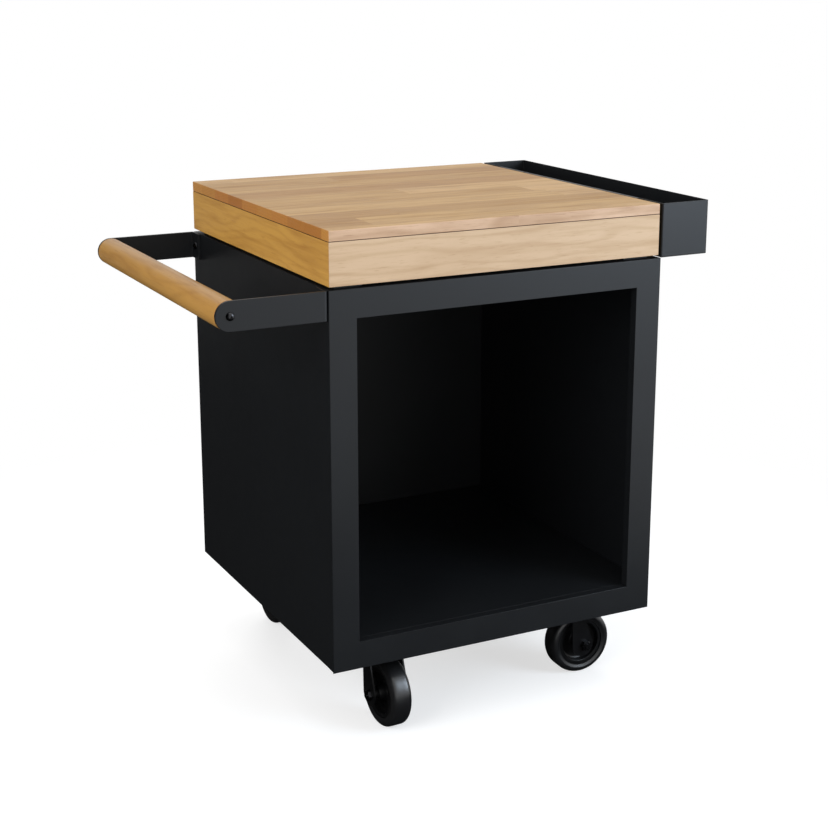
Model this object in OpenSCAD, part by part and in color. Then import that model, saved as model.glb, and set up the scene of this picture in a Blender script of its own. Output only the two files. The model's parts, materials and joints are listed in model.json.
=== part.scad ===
// Mobile prep table: a powder-coated steel cabinet with an open firewood bay,
// a lift-off work board on a mitred wooden frame, a push handle, a hook-on
// planter tray and four swivel castors. Front is -Y, the handle is at -X,
// the tray at +X. The origin is on the floor, under the middle of the whole.

/* [Cabinet] */
// Width of the cabinet shell
cab_w = 650; // [600:5:720]
// Depth of the cabinet shell
cab_d = 650; // [600:5:720]
// Height of the cabinet shell
cab_h = 670; // [600:5:760]
// Width of the front frame's border round the opening
border = 50; // [44:1:70]
// Thickness of the shell's sheet steel
sheet = 2; // [1.5:0.1:3]
// Outer radius of the shell's bent edges
bend_r = 1.4; // [0.5:0.1:1.5]
// Depth of the returns folded back round the opening
return_d = 15; // [10:1:25]
// Width of the stiffening flanges folded inwards
flange_w = 20; // [14:1:26]
// Distance the side and back panels stop above the front frame's lower edge
panel_lift = 3; // [1:0.5:4]
// Gap between the ends of the top plate's flanges and the side panels
flange_end = 40; // [30:1:60]

/* [Castor rails] */
// Height of the rails' webs above the front frame's lower edge
rail_recess = 5; // [4:0.5:8]
// Width of a rail's web
rail_w = 100; // [94:1:120]
// Thickness of the rail steel
rail_t = 3; // [2:0.5:4]
// Width of a rail's top flange
rail_flange = 18; // [12:1:25]
// Distance from the cabinet's front and back to the rails' ends
rail_end = 22; // [20:1:40]

/* [Work top] */
// Thickness of the work board
board_t = 18.5; // [15:0.5:40]
// Height of the wooden frame under the board
rim_h = 74; // [66:1:110]
// Thickness of the frame boards
rim_t = 24; // [18:1:30]
// Distance the wood is set in from the cabinet's left side
wood_inset = 1; // [0:0.5:3]
// Gap between the wood and the planter tray
tray_gap = 6; // [5.5:0.5:12]
// Height of the shadow gap under the wood
shadow_gap = 5.5; // [5.5:0.5:10]
// Chamfer on both sides of the seam under the board
seam_cut = 0.8; // [0.3:0.1:1.5]
// Side of a square spacer pad
pad_size = 50; // [45:1:60]
// Distance from the wood's faces to the pads
pad_inset = 15; // [12:1:20]
// Side of a square corner block
block_size = 45; // [40:1:60]
// Gap between the corner blocks' tops and the cleats
block_drop = 8; // [6:1:14]
// Width of a board cleat
cleat_w = 45; // [35:1:60]
// Thickness of a board cleat
cleat_t = 20; // [16:1:24]
// Play between the cleats and the wooden frame
cleat_play = 1; // [0.5:0.1:2]

/* [Handle] */
// Reach of the handle from the cabinet's left side
handle_reach = 194; // [150:1:240]
// Height of the handle's arms
arm_h = 50; // [44:1:60]
// Thickness of the arms
arm_t = 5; // [4:0.5:6]
// Length of the flange folded inwards at the cabinet
arm_flange = 34; // [28:1:50]
// Outer radius of the arms' bend
arm_bend_r = 7; // [6.5:0.5:10]
// Diameter of the wooden bar
bar_d = 50; // [40:1:50]
// Distance from the arm's inner face to the handle bolt
bolt_inset = 17; // [15:1:19]

/* [Planter tray] */
// Width of the tray
tray_w = 100; // [80:1:160]
// Thickness of the tray's sheet steel
tray_sheet = 1.5; // [1:0.1:1.5]
// Outer radius of the tray's bends
tray_bend_r = 3; // [2:0.5:5]
// Depth of the lip that hooks over the bracket
lip_drop = 28; // [20:1:40]
// Gap between the spacer pads and the ends of the bracket
lip_clear = 10; // [5:1:60]
// Thickness of the bracket's steel
bracket_t = 2; // [1.5:0.1:2]
// Width of the bracket's leg on the top plate
bracket_foot = 40; // [34:1:50]
// Gap on each side of the bracket's upright leg
hook_play = 0.3; // [0.2:0.1:0.5]

/* [Castor wheels] */
// Diameter of the wheels
wheel_d = 125; // [110:1:130]
// Width of the tread
tread_w = 40; // [30:1:46]
// Radius of the tyre's shoulders
shoulder_r = 10; // [4:0.5:12]
// Radius of the hub's rim inside the tyre
rim_r = 45.5; // [42:0.5:50]
// Depth of the bevel in the tyre's side wall
wall_bevel = 2; // [1:0.5:5]
// Radial width of the bevel in the tyre's side wall
bevel_run = 4.5; // [3:0.5:8]
// Thickness of the hub's rim
hub_rim_t = 7; // [4:0.5:9]
// Depth of the hub's rim below the tyre's side wall
hub_sink = 1.5; // [0.5:0.5:3]
// Thickness of the hub's web
web_t = 9; // [6:0.5:12]
// Outer radius of the hub's boss
boss_r = 14; // [12:0.5:18]
// Length of the hub's boss
boss_l = 44; // [36:1:50]
// Outer radius of the necks between the boss and the legs
neck_r = 10.5; // [10:0.5:12]

/* [Castor frames] */
// Height of a castor from the floor to the top of its plate
castor_h = 155; // [150:1:180]
// Trail, from the swivel axis to the wheel's axle
trail = 42; // [34:1:44]
// Distance from the cabinet's left and right sides to the swivel axes
castor_in_x = 132; // [110:1:160]
// Distance from the cabinet's front and back to the swivel axes
castor_in_y = 107; // [90:1:130]
// Size of the mounting plate along X
plate_w = 85; // [84:1:90]
// Size of the mounting plate along Y
plate_l = 105; // [102:1:110]
// Thickness of the mounting plate
plate_t = 3.5; // [3:0.5:4]
// Distance between the plate's holes along X
hole_x = 60; // [58:0.5:62]
// Distance between the plate's holes along Y
hole_y = 80; // [78:0.5:82]
// Outer width of the fork
fork_w = 68; // [66:1:78]
// Thickness of the fork's steel
leg_t = 3; // [2.5:0.1:4]
// Outer radius of the bend between the crown and the legs
fork_bend_r = 6; // [5:0.5:8]
// Radius of the legs' round ends
leg_end_r = 22; // [16:0.5:24]
// Place of the legs' front edge under the crown, from the swivel axis
leg_front = 32; // [30:1:58]
// Place of the legs' rear edge under the crown, behind the swivel axis
leg_rear = 26; // [6:1:30]
// How far the legs' round ends sit behind the axle
leg_shift = 5; // [0:1:7]
// Depth of the knee in the legs' rear edge below the crown
leg_knee = 25; // [18:1:34]
// Diameter of the swivel bearing's balls
ball_d = 6; // [5:0.5:6.5]
// Radius of the ring of balls
ball_ring_r = 25.5; // [25:0.5:27]
// Number of balls in a swivel bearing
ball_count = 16; // [10:1:20]
// Radius of the kingpin
kingpin_r = 6; // [5:0.5:7]

/* [Castor headings] */
// Way the front left wheel trails, in degrees from +X
heading_fl = -88; // [-180:1:180]
// Way the front right wheel trails, in degrees from +X
heading_fr = -2; // [-180:1:180]
// Way the rear left wheel trails, in degrees from +X
heading_rl = 90; // [-180:1:180]
// Way the rear right wheel trails, in degrees from +X
heading_rr = 40; // [-180:1:180]

/* [Fasteners] */
// Radius of the 8 mm screws in the handle and the castor plates
m8_r = 4; // [3.5:0.1:4.2]
// Radius of a button head on an 8 mm screw
button_r = 7.2; // [6.5:0.1:7.5]
// Height of a button head on an 8 mm screw
button_h = 4.4; // [4:0.1:5]
// Width across flats of an 8 mm nut
nut_flats = 13; // [12:0.5:14]
// Height of an 8 mm nut
nut_h = 6.5; // [5:0.5:7]
// Length of the screws in the handle bar's ends
end_screw_len = 30; // [22:1:40]
// Radius of the axle bolts
axle_r = 5; // [4:0.5:5]
// Width across flats of the axle's head and nut
axle_flats = 17; // [15:0.5:18]
// Height of the axle's head
axle_head_h = 6.5; // [5:0.5:8]
// Height of the axle's nut
axle_nut_h = 8; // [6:0.5:10]
// Outer radius of the axle's sleeve
sleeve_r = 8; // [7:0.5:9]
// Radius of the screws in the corner blocks
frame_screw_r = 3; // [2.5:0.1:3.5]
// Length of the frame screws inside the corner blocks
frame_screw_bite = 28; // [15:1:32]
// Radius of the cleat screws
cleat_screw_r = 2.25; // [1.8:0.05:2.5]
// Length of the cleat screws inside the board
cleat_screw_bite = 11; // [6:1:12]
// Radius of the bracket screws
bracket_screw_r = 2.5; // [2:0.1:3]
// Length of the thread that shows past a nut
thread_over = 2; // [1:0.5:4]

/* [Fits] */
// Radial clearance of a running fit
run_fit = 0.05; // [0.02:0.01:0.1]
// Radial clearance of a fastener in a plain hole
hole_play = 0.4; // [0.1:0.05:0.5]
// Radial clearance of a thread in its hole or nut
thread_fit = 0.05; // [0.02:0.01:0.1]
// Clearance above and below the bearing balls
ball_play = 0.1; // [0.05:0.05:0.2]
// Gap between the hub's boss and each leg of the fork
hub_play = 1; // [0.5:0.1:2]

/* [Hidden] */
$fn = 64;
ROUND_FINE = 128;
SMALL = 32;
OVER = 1;                                  // cutters reach this far past a face

COAT = [0.21, 0.22, 0.235];
BOARD = [0.78, 0.65, 0.5];
RIM = [0.82, 0.7, 0.56];
BAR = [0.66, 0.5, 0.3];
BLACK = [0.08, 0.08, 0.08];
ZINC = [0.6, 0.61, 0.63];
BRASS = [0.72, 0.6, 0.3];

home_x = (handle_reach - tray_w) / 2;      // middle of the cabinet
side_x = cab_w / 2;
face_y = cab_d / 2;
cab_z0 = castor_h - rail_recess;
cab_z1 = cab_z0 + cab_h;
floor_z = cab_z0 + border;
open_w = cab_w - 2 * border;
open_h = cab_h - 2 * border;

wood_x0 = -side_x + wood_inset;
wood_x1 = side_x - tray_gap;
rim_z0 = cab_z1 + shadow_gap;
rim_z1 = rim_z0 + rim_h;
top_z = rim_z1 + board_t;
block_h = rim_h - cleat_t - block_drop;
BLOCK_SCREW_STEPS = [0.3, 0.7];            // places of the two screws across a block
cleat_len = cab_d - 2 * rim_t - 2 * cleat_play;
cleat_x = [wood_x0 + rim_t + cleat_play, wood_x1 - rim_t - cleat_play - cleat_w];
CLEAT_SCREW_STEPS = [-0.4, 0, 0.4];        // places of the screws along a cleat

bar_x = -side_x - handle_reach + arm_h / 2;
arm_z = cab_z1 - arm_h / 2;
bolt_y = face_y - arm_t - bolt_inset;
bar_len = cab_d - 2 * arm_t;
bar_hole_depth = end_screw_len;
INSERT_WALL = 2.5;
INSERT_LEN = 24;

bracket_x1 = side_x - hook_play;
lip_run = cab_d - 2 * (pad_inset + pad_size + lip_clear);
tray_h = top_z - cab_z1;
bracket_h = tray_h - tray_sheet;
lip_x0 = bracket_x1 - bracket_t - hook_play - tray_sheet;
BRACKET_SCREWS = 3;
BRACKET_HEAD_R = 4.7;
BRACKET_HEAD_H = 2.4;
BRACKET_SCREW_LEN = 10;

HEX_HEAD_H = 5.3;                          // head of a castor bolt
BUTTON_RIM = 0.4;                          // straight part of a button head
BUTTON_TOP = 0.62;                         // flat top of a button head
BUTTON_KEY = 0.7;                          // width of its hexagon socket

wheel_r = wheel_d / 2;
PLATE_CORNER_R = 8;
LEG_LEAN = 2;                              // from the round end's side to the knee
HUB_CHAMFER = 1;
BOSS_FLARE = 3;                            // how much the boss widens towards the web
WEB_FILLET = 5;                            // slope where the web meets the rim
TREAD_STEP = 0.5;                          // from the bevel's outer edge to the shoulder
SHOULDER_STEP = 15;                        // degrees between points of the shoulder
RACE_T = 1.9;                              // step of the plate above the balls
RACE_EDGE = 1;                             // between the balls and the walls beside them
SKIRT_T = 2.5;                             // wall of the dust skirt
SKIRT_GAP = 1.2;                           // between the skirt and the crown
KINGPIN_HEAD_R = 11;
KINGPIN_HEAD_H = 3.5;
CROWN_BOSS_H = 4;
crown_z = castor_h - plate_t - RACE_T - ball_d - 2 * ball_play;
leg_in = fork_w / 2 - leg_t;
shoulder = min(shoulder_r, wheel_r - rim_r - bevel_run - 2 * TREAD_STEP);

CASTORS = ["fl", "fr", "rl", "rr"];
CASTOR_SIDE = [[-1, -1], [1, -1], [-1, 1], [1, 1]];
HEADINGS = [heading_fl, heading_fr, heading_rl, heading_rr];
CASTOR_PIECES = ["plate", "balls", "fork", "sleeve", "axle", "hub", "tyre"];

function castor_node(corner, piece) = str("castor_", corner, "_", piece);

function castor_xy(k) = [
    CASTOR_SIDE[k][0] * (side_x - castor_in_x),
    CASTOR_SIDE[k][1] * (face_y - castor_in_y)
];

// Point where a line from p touches a circle; turn is 1 or -1 for the side
function touch_point(p, centre, r, turn) =
    let (d = p - centre, a = atan2(d[1], d[0]) + turn * acos(r / norm(d)))
    centre + r * [cos(a), sin(a)];

// Helpers

module at_cabinet() {
    translate([home_x, 0, 0]) children();
}

module at_castor(k) {
    at_cabinet() translate(castor_xy(k)) children();
}

module at_fork(k) {
    at_castor(k) rotate([0, 0, HEADINGS[k]]) children();
}

// A 2D shape drawn in Y and Z, extruded along X about the middle
module along_x(length) {
    rotate([90, 0, 90]) linear_extrude(length, center = true) children();
}

// A 2D shape drawn in X and Z, extruded along Y about the middle
module along_y(length) {
    rotate([90, 0, 0]) linear_extrude(length, center = true) children();
}

// Box from its lowest to its highest corner
module box(low, high) {
    translate(low) cube(high - low);
}

// Rectangle from its lowest to its highest corner, with all corners rounded
module round_rect(low, high, r) {
    translate([low[0] + r, low[1]]) square([high[0] - low[0] - 2 * r, high[1] - low[1]]);
    translate([low[0], low[1] + r]) square([high[0] - low[0], high[1] - low[1] - 2 * r]);
    for (x = [low[0] + r, high[0] - r], y = [low[1] + r, high[1] - r])
        translate([x, y]) circle(r, $fn = SMALL);
}

// An L of sheet with its outer corner at the origin and legs along +X and +Y
module bent_strip(leg_x, leg_y, t, r) {
    translate([r, 0]) square([leg_x - r, t]);
    translate([0, r]) square([t, leg_y - r]);
    difference() {
        intersection() {
            translate([r, r]) circle(r);
            square(r);
        }
        translate([r, r]) circle(r - t);
    }
}

module hex_prism(flats, h) {
    cylinder(h, r = flats / 2 / cos(30), $fn = 6);
}

// Nut with chamfered corners, standing on the XY plane
module nut(flats, h, bore_r) {
    corner_r = flats / 2 / cos(30);
    cut = corner_r - flats / 2;
    difference() {
        intersection() {
            hex_prism(flats, h);
            union() {
                cylinder(h - cut, r = corner_r, $fn = ROUND_FINE);
                translate([0, 0, h - cut]) cylinder(cut, r1 = corner_r, r2 = flats / 2, $fn = ROUND_FINE);
            }
        }
        translate([0, 0, -OVER]) cylinder(h + 2 * OVER, r = bore_r);
    }
}

// Button-head screw: the head stands on the XY plane, the shank hangs below it
module button_screw(head_r, head_h, shank_r, length) {
    rim = head_h * BUTTON_RIM;
    difference() {
        union() {
            cylinder(rim, r = head_r);
            translate([0, 0, rim]) cylinder(head_h - rim, r1 = head_r, r2 = head_r * BUTTON_TOP);
            translate([0, 0, -length]) cylinder(length, r = shank_r);
        }
        translate([0, 0, rim]) hex_prism(head_r * BUTTON_KEY, head_h);
    }
}

// Cabinet

module opening_cut(extra, depth) {
    box([-open_w / 2 - extra, -face_y - OVER, floor_z - extra],
        [open_w / 2 + extra, -face_y + sheet + depth, floor_z + open_h + extra]);
}

module front_frame() {
    root = -face_y + (sheet + bend_r) / 2;
    color(COAT) difference() {
        union() {
            intersection() {
                linear_extrude(cab_z1) front_edges();
                along_x(cab_w) round_face();
            }
            box([-side_x + sheet, root, cab_z1 - sheet],
                [side_x - sheet, -face_y + sheet + flange_w, cab_z1]);
            box([-side_x + sheet, root, cab_z0],
                [side_x - sheet, -face_y + sheet + flange_w, cab_z0 + sheet]);
            intersection() {
                opening_cut(sheet, return_d);
                box([-side_x, root, cab_z0], [side_x, 0, cab_z1]);
            }
        }
        opening_cut(0, return_d + OVER);
    }
}

// Plan of the front plate, with its two vertical edges rounded
module front_edges() {
    intersection() {
        translate([-side_x, -face_y]) square([cab_w, sheet]);
        round_rect([-side_x, -face_y], [side_x, face_y], bend_r);
    }
}

// Side view of the front plate, with its upper and lower edges rounded
module round_face() {
    intersection() {
        translate([-face_y, cab_z0]) square([sheet, cab_h]);
        round_rect([-face_y, cab_z0], [face_y, cab_z1], bend_r);
    }
}

module side_panel_right() {
    color(COAT) {
        box([side_x - sheet, -face_y + sheet, cab_z0 + panel_lift],
            [side_x, face_y - sheet, cab_z1]);
        box([side_x - flange_w, -face_y + sheet + flange_w, cab_z0 + panel_lift],
            [side_x - sheet, face_y - sheet - flange_w, cab_z0 + panel_lift + sheet]);
    }
}

module side_panel_left() {
    color(COAT) difference() {
        mirror([1, 0, 0]) side_panel_right();
        for (side = [-1, 1])
            translate([-side_x, side * bolt_y, arm_z]) rotate([0, 90, 0])
                cylinder(4 * sheet, r = m8_r + hole_play, center = true);
    }
}

module back_panel() {
    color(COAT) translate([0, 0, cab_z0 + panel_lift]) linear_extrude(cab_z1 - cab_z0 - panel_lift)
        mirror([0, 1]) front_edges();
}

module floor_plate() {
    color(COAT) {
        box([-side_x + sheet, -face_y + sheet + return_d, floor_z - sheet],
            [side_x - sheet, face_y - sheet, floor_z]);
        for (side = [0, 1])
            mirror([side, 0, 0])
                box([side_x - 2 * sheet, -face_y + sheet + return_d, floor_z - flange_w],
                    [side_x - sheet, face_y - sheet, floor_z - sheet]);
    }
}

module frame_screw_places() {
    for (x = [wood_x0 + rim_t, wood_x1 - rim_t - block_size])
        for (y = [-face_y + rim_t, face_y - rim_t - block_size])
            for (step = BLOCK_SCREW_STEPS)
                translate([x + step * block_size, y + (1 - step) * block_size, 0]) children();
}

module bracket_screw_places() {
    for (i = [0 : BRACKET_SCREWS - 1])
        translate([
            bracket_x1 - bracket_foot / 2,
            (i / (BRACKET_SCREWS - 1) - 0.5) * (lip_run - 2 * bracket_foot),
            0
        ]) children();
}

module top_plate() {
    front = -face_y + sheet + flange_w;
    color(COAT) difference() {
        union() {
            box([-side_x + sheet, front, cab_z1 - sheet], [side_x - sheet, face_y - sheet, cab_z1]);
            for (y = [front, face_y - 2 * sheet])
                box([-side_x + flange_end, y, cab_z1 - flange_w],
                    [side_x - flange_end, y + sheet, cab_z1 - sheet]);
        }
        translate([0, 0, cab_z1 - sheet - OVER]) {
            frame_screw_places() cylinder(sheet + 2 * OVER, r = frame_screw_r + hole_play);
            bracket_screw_places() cylinder(sheet + 2 * OVER, r = bracket_screw_r + thread_fit);
        }
    }
}

// Section of a castor rail, in X and Z, an open channel with outward flanges
module rail_section() {
    top = floor_z - sheet;
    half = rail_w / 2;
    difference() {
        translate([-half, castor_h]) square([rail_w, top - castor_h]);
        translate([-half + rail_t, castor_h + rail_t]) square([rail_w - 2 * rail_t, top]);
    }
    for (side = [0, 1])
        mirror([side, 0]) translate([half, top - rail_t]) square([rail_flange, rail_t]);
}

module castor_hole_places() {
    for (x = [-hole_x / 2, hole_x / 2], y = [-hole_y / 2, hole_y / 2])
        translate([x, y, 0]) children();
}

// Rail on one side of the cabinet; side is -1 for the left, 1 for the right
module castor_rail(side) {
    color(COAT) difference() {
        translate([side * (side_x - castor_in_x), 0, 0])
            along_y(cab_d - 2 * rail_end) rail_section();
        for (k = [0 : 3])
            translate(castor_xy(k)) castor_hole_places()
                translate([0, 0, castor_h - OVER]) cylinder(rail_t + 2 * OVER, r = m8_r + hole_play);
    }
}

// Wooden top

module spacer_pads() {
    color(BLACK) difference() {
        for (x = [wood_x0 + pad_inset, wood_x1 - pad_inset - pad_size])
            for (y = [-face_y + pad_inset, face_y - pad_inset - pad_size])
                box([x, y, cab_z1], [x + pad_size, y + pad_size, rim_z0]);
        frame_screw_places() translate([0, 0, cab_z1 - OVER])
            cylinder(shadow_gap + 2 * OVER, r = frame_screw_r + hole_play);
    }
}

// Mitred board along the whole of one side, its outer face on the line y = 0
module rim_board(length) {
    color(RIM) difference() {
        linear_extrude(rim_h)
            polygon([[0, 0], [length, 0], [length - rim_t, rim_t], [rim_t, rim_t]]);
        translate([length / 2, 0, rim_h]) along_x(length + 2 * OVER)
            polygon([[0, -seam_cut], [-OVER, -seam_cut], [-OVER, OVER], [seam_cut, OVER], [seam_cut, 0]]);
    }
}

module rim_front() {
    translate([wood_x0, -face_y, rim_z0]) rim_board(wood_x1 - wood_x0);
}

module rim_back() {
    translate([wood_x1, face_y, rim_z0]) rotate([0, 0, 180]) rim_board(wood_x1 - wood_x0);
}

module rim_left() {
    translate([wood_x0, face_y, rim_z0]) rotate([0, 0, -90]) rim_board(cab_d);
}

module rim_right() {
    translate([wood_x1, -face_y, rim_z0]) rotate([0, 0, 90]) rim_board(cab_d);
}

module corner_blocks() {
    color(RIM) difference() {
        for (x = [wood_x0 + rim_t, wood_x1 - rim_t - block_size])
            for (y = [-face_y + rim_t, face_y - rim_t - block_size])
                box([x, y, rim_z0], [x + block_size, y + block_size, rim_z0 + block_h]);
        frame_screw_places() translate([0, 0, rim_z0 - OVER])
            cylinder(frame_screw_bite + 2 * OVER, r = frame_screw_r + thread_fit);
    }
}

module frame_screws() {
    color(ZINC) frame_screw_places() translate([0, 0, cab_z1 - sheet]) mirror([0, 0, 1])
        button_screw(2 * frame_screw_r, frame_screw_r, frame_screw_r,
                     sheet + shadow_gap + frame_screw_bite);
}

module work_board() {
    color(BOARD) difference() {
        box([wood_x0, -face_y, rim_z1], [wood_x1, face_y, top_z]);
        for (side = [0, 1]) {
            mirror([0, side, 0]) translate([0, -face_y, rim_z1])
                along_x(cab_w + 2 * OVER) seam_wedge();
            translate([side == 0 ? wood_x0 : wood_x1, 0, rim_z1])
                mirror([side, 0, 0]) along_y(cab_d + 2 * OVER) seam_wedge();
        }
        cleat_screw_places() translate([0, 0, rim_z1 - OVER])
            cylinder(cleat_screw_bite + 2 * OVER, r = cleat_screw_r + thread_fit);
    }
}

// Section of the chamfer cut along the board's lower edge
module seam_wedge() {
    polygon([[0, seam_cut], [-OVER, seam_cut], [-OVER, -OVER], [seam_cut, -OVER], [seam_cut, 0]]);
}

module cleat_screw_places() {
    for (x = cleat_x, y = CLEAT_SCREW_STEPS)
        translate([x + cleat_w / 2, y * cleat_len, 0]) children();
}

// Cleat under the board; k is 0 for the left one, 1 for the right one
module board_cleat(k) {
    x = cleat_x[k];
    color(RIM) difference() {
        box([x, -cleat_len / 2, rim_z1 - cleat_t], [x + cleat_w, cleat_len / 2, rim_z1]);
        cleat_screw_places() translate([0, 0, rim_z1 - cleat_t - OVER])
            cylinder(cleat_t + 2 * OVER, r = cleat_screw_r + hole_play);
    }
}

module cleat_screws() {
    color(ZINC) cleat_screw_places() translate([0, 0, rim_z1 - cleat_t]) mirror([0, 0, 1])
        button_screw(2 * cleat_screw_r, cleat_screw_r, cleat_screw_r, cleat_t + cleat_screw_bite);
}

// Handle

// Front arm: flat steel with a half-round end and a flange on the side panel
module handle_arm_front() {
    color(COAT) difference() {
        intersection() {
            translate([-side_x, -face_y, arm_z - arm_h / 2]) mirror([1, 0, 0])
                linear_extrude(arm_h)
                    bent_strip(handle_reach, arm_t + arm_flange, arm_t, arm_bend_r);
            union() {
                box([bar_x, -face_y, arm_z - arm_h / 2],
                    [-side_x, -face_y + arm_t + arm_flange, arm_z + arm_h / 2]);
                translate([bar_x, -face_y + arm_t / 2, arm_z]) rotate([90, 0, 0])
                    cylinder(arm_t, r = arm_h / 2, center = true, $fn = ROUND_FINE);
            }
        }
        translate([bar_x, -face_y, arm_z]) rotate([90, 0, 0])
            cylinder(4 * arm_t, r = m8_r + hole_play, center = true);
        translate([-side_x, -bolt_y, arm_z]) rotate([0, 90, 0])
            cylinder(4 * arm_t, r = m8_r + hole_play, center = true);
    }
}

module handle_arm_rear() {
    mirror([0, 1, 0]) handle_arm_front();
}

module handle_bar() {
    color(BAR) translate([bar_x, 0, arm_z]) rotate([90, 0, 0]) difference() {
        cylinder(bar_len, r = bar_d / 2, center = true, $fn = ROUND_FINE);
        for (side = [0, 1])
            mirror([0, 0, side]) translate([0, 0, bar_len / 2 - bar_hole_depth])
                cylinder(bar_hole_depth + OVER, r = m8_r + INSERT_WALL + thread_fit);
    }
}

module handle_inserts() {
    color(BRASS) for (side = [0, 1])
        mirror([0, side, 0]) translate([bar_x, -bar_len / 2, arm_z]) rotate([-90, 0, 0])
            difference() {
                cylinder(INSERT_LEN, r = m8_r + INSERT_WALL);
                translate([0, 0, -OVER]) cylinder(INSERT_LEN + 2 * OVER, r = m8_r + thread_fit);
            }
}

module handle_end_screws() {
    color(BLACK) for (side = [0, 1])
        mirror([0, side, 0]) translate([bar_x, -face_y, arm_z]) rotate([90, 0, 0])
            button_screw(button_r, button_h, m8_r, end_screw_len);
}

module handle_bolts() {
    grip = arm_t + sheet + nut_h + thread_over;
    color(BLACK) for (side = [-1, 1])
        translate([-side_x - arm_t, side * bolt_y, arm_z]) rotate([0, -90, 0])
            button_screw(button_r, button_h, m8_r, grip);
}

module handle_nuts() {
    color(ZINC) for (side = [-1, 1])
        translate([-side_x + sheet, side * bolt_y, arm_z]) rotate([0, 90, 0])
            nut(nut_flats, nut_h, m8_r + thread_fit);
}

// Planter tray

// Box with every edge rounded but those of its flat top
module pan(low, high, r) {
    mid = (low + high) / 2;
    size = high - low;
    intersection() {
        translate([0, 0, low[2]]) linear_extrude(size[2])
            round_rect([low[0], low[1]], [high[0], high[1]], r);
        translate([mid[0], 0, 0]) along_x(size[0])
            round_rect([low[1], low[2]], [high[1], high[2] + 2 * r], r);
        translate([0, mid[1], 0]) along_y(size[1])
            round_rect([low[0], low[2]], [high[0], high[2] + 2 * r], r);
    }
}

module planter_tray() {
    wall = [tray_sheet, tray_sheet, tray_sheet];
    low = [side_x, -face_y, cab_z1];
    high = [side_x + tray_w, face_y, top_z];
    color(COAT) {
        difference() {
            pan(low, high, tray_bend_r);
            pan(low + wall, [high[0] - tray_sheet, high[1] - tray_sheet, high[2] + tray_h],
                tray_bend_r - tray_sheet);
        }
        box([lip_x0, -lip_run / 2, top_z - tray_sheet], [side_x + tray_sheet, lip_run / 2, top_z]);
        box([lip_x0, -lip_run / 2, top_z - lip_drop], [lip_x0 + tray_sheet, lip_run / 2, top_z]);
    }
}

module tray_bracket() {
    color(COAT) difference() {
        translate([bracket_x1, 0, cab_z1]) mirror([1, 0, 0]) along_y(lip_run)
            bent_strip(bracket_foot, bracket_h, bracket_t, bracket_t + OVER);
        bracket_screw_places() translate([0, 0, cab_z1 - OVER])
            cylinder(bracket_t + 2 * OVER, r = bracket_screw_r + hole_play);
    }
}

module bracket_screws() {
    color(ZINC) bracket_screw_places() translate([0, 0, cab_z1 + bracket_t])
        button_screw(BRACKET_HEAD_R, BRACKET_HEAD_H, bracket_screw_r, BRACKET_SCREW_LEN);
}

// Castors

module castor_bolts() {
    under = castor_h - plate_t;
    length = plate_t + rail_t + nut_h + thread_over;
    color(ZINC) for (k = [0 : 3])
        translate(castor_xy(k)) castor_hole_places() {
            translate([0, 0, under - HEX_HEAD_H]) hex_prism(nut_flats, HEX_HEAD_H);
            translate([0, 0, under]) cylinder(length, r = m8_r);
        }
}

module castor_nuts() {
    color(ZINC) for (k = [0 : 3])
        translate(castor_xy(k)) castor_hole_places() translate([0, 0, castor_h + rail_t])
            nut(nut_flats, nut_h, m8_r + thread_fit);
}

// Mounting plate with the upper race, its dust skirt and the riveted kingpin
module castor_plate() {
    under = castor_h - plate_t;
    skirt_r = ball_ring_r + ball_d / 2 + RACE_EDGE;
    pin_end = crown_z - leg_t - ball_play;
    color(ZINC) {
        difference() {
            translate([0, 0, under]) linear_extrude(plate_t)
                round_rect([-plate_w / 2, -plate_l / 2], [plate_w / 2, plate_l / 2], PLATE_CORNER_R);
            translate([0, 0, under - OVER]) castor_hole_places()
                cylinder(plate_t + 2 * OVER, r = m8_r + hole_play);
        }
        translate([0, 0, under - RACE_T]) cylinder(RACE_T, r = skirt_r + SKIRT_T, $fn = ROUND_FINE);
        difference() {
            translate([0, 0, crown_z + SKIRT_GAP])
                cylinder(under - crown_z - SKIRT_GAP, r = skirt_r + SKIRT_T, $fn = ROUND_FINE);
            cylinder(under, r = skirt_r, $fn = ROUND_FINE);
        }
        translate([0, 0, pin_end]) cylinder(under - pin_end, r = kingpin_r);
        translate([0, 0, pin_end - KINGPIN_HEAD_H]) cylinder(KINGPIN_HEAD_H, r = KINGPIN_HEAD_R);
    }
}

module castor_balls() {
    color(ZINC) for (i = [0 : ball_count - 1])
        rotate([0, 0, i * 360 / ball_count])
            translate([ball_ring_r, 0, crown_z + ball_play + ball_d / 2]) sphere(d = ball_d, $fn = SMALL);
}

// Side view of the fork, in X and Z: the crown's edge and the legs, swept to a knee and then upright
module fork_side() {
    end = [trail - leg_shift, wheel_r];
    top_front = [leg_front, crown_z];
    knee = [end[0] - leg_end_r - LEG_LEAN, crown_z - leg_knee];
    translate([-fork_w / 2, crown_z - leg_t]) square([fork_w / 2 + leg_front, leg_t]);
    polygon([
        [-leg_rear, crown_z - leg_t], [-leg_rear, crown_z], top_front,
        touch_point(top_front, end, leg_end_r, -1), end,
        touch_point(knee, end, leg_end_r, 1), knee
    ]);
    translate(end) circle(leg_end_r);
}

// End view of the fork, in Y and Z: an upside-down U with rounded shoulders
module fork_end() {
    half = fork_w / 2;
    difference() {
        round_rect([-half, -half], [half, crown_z], fork_bend_r);
        round_rect([-half + leg_t, -2 * half], [half - leg_t, crown_z - leg_t], fork_bend_r - leg_t);
    }
}

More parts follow.
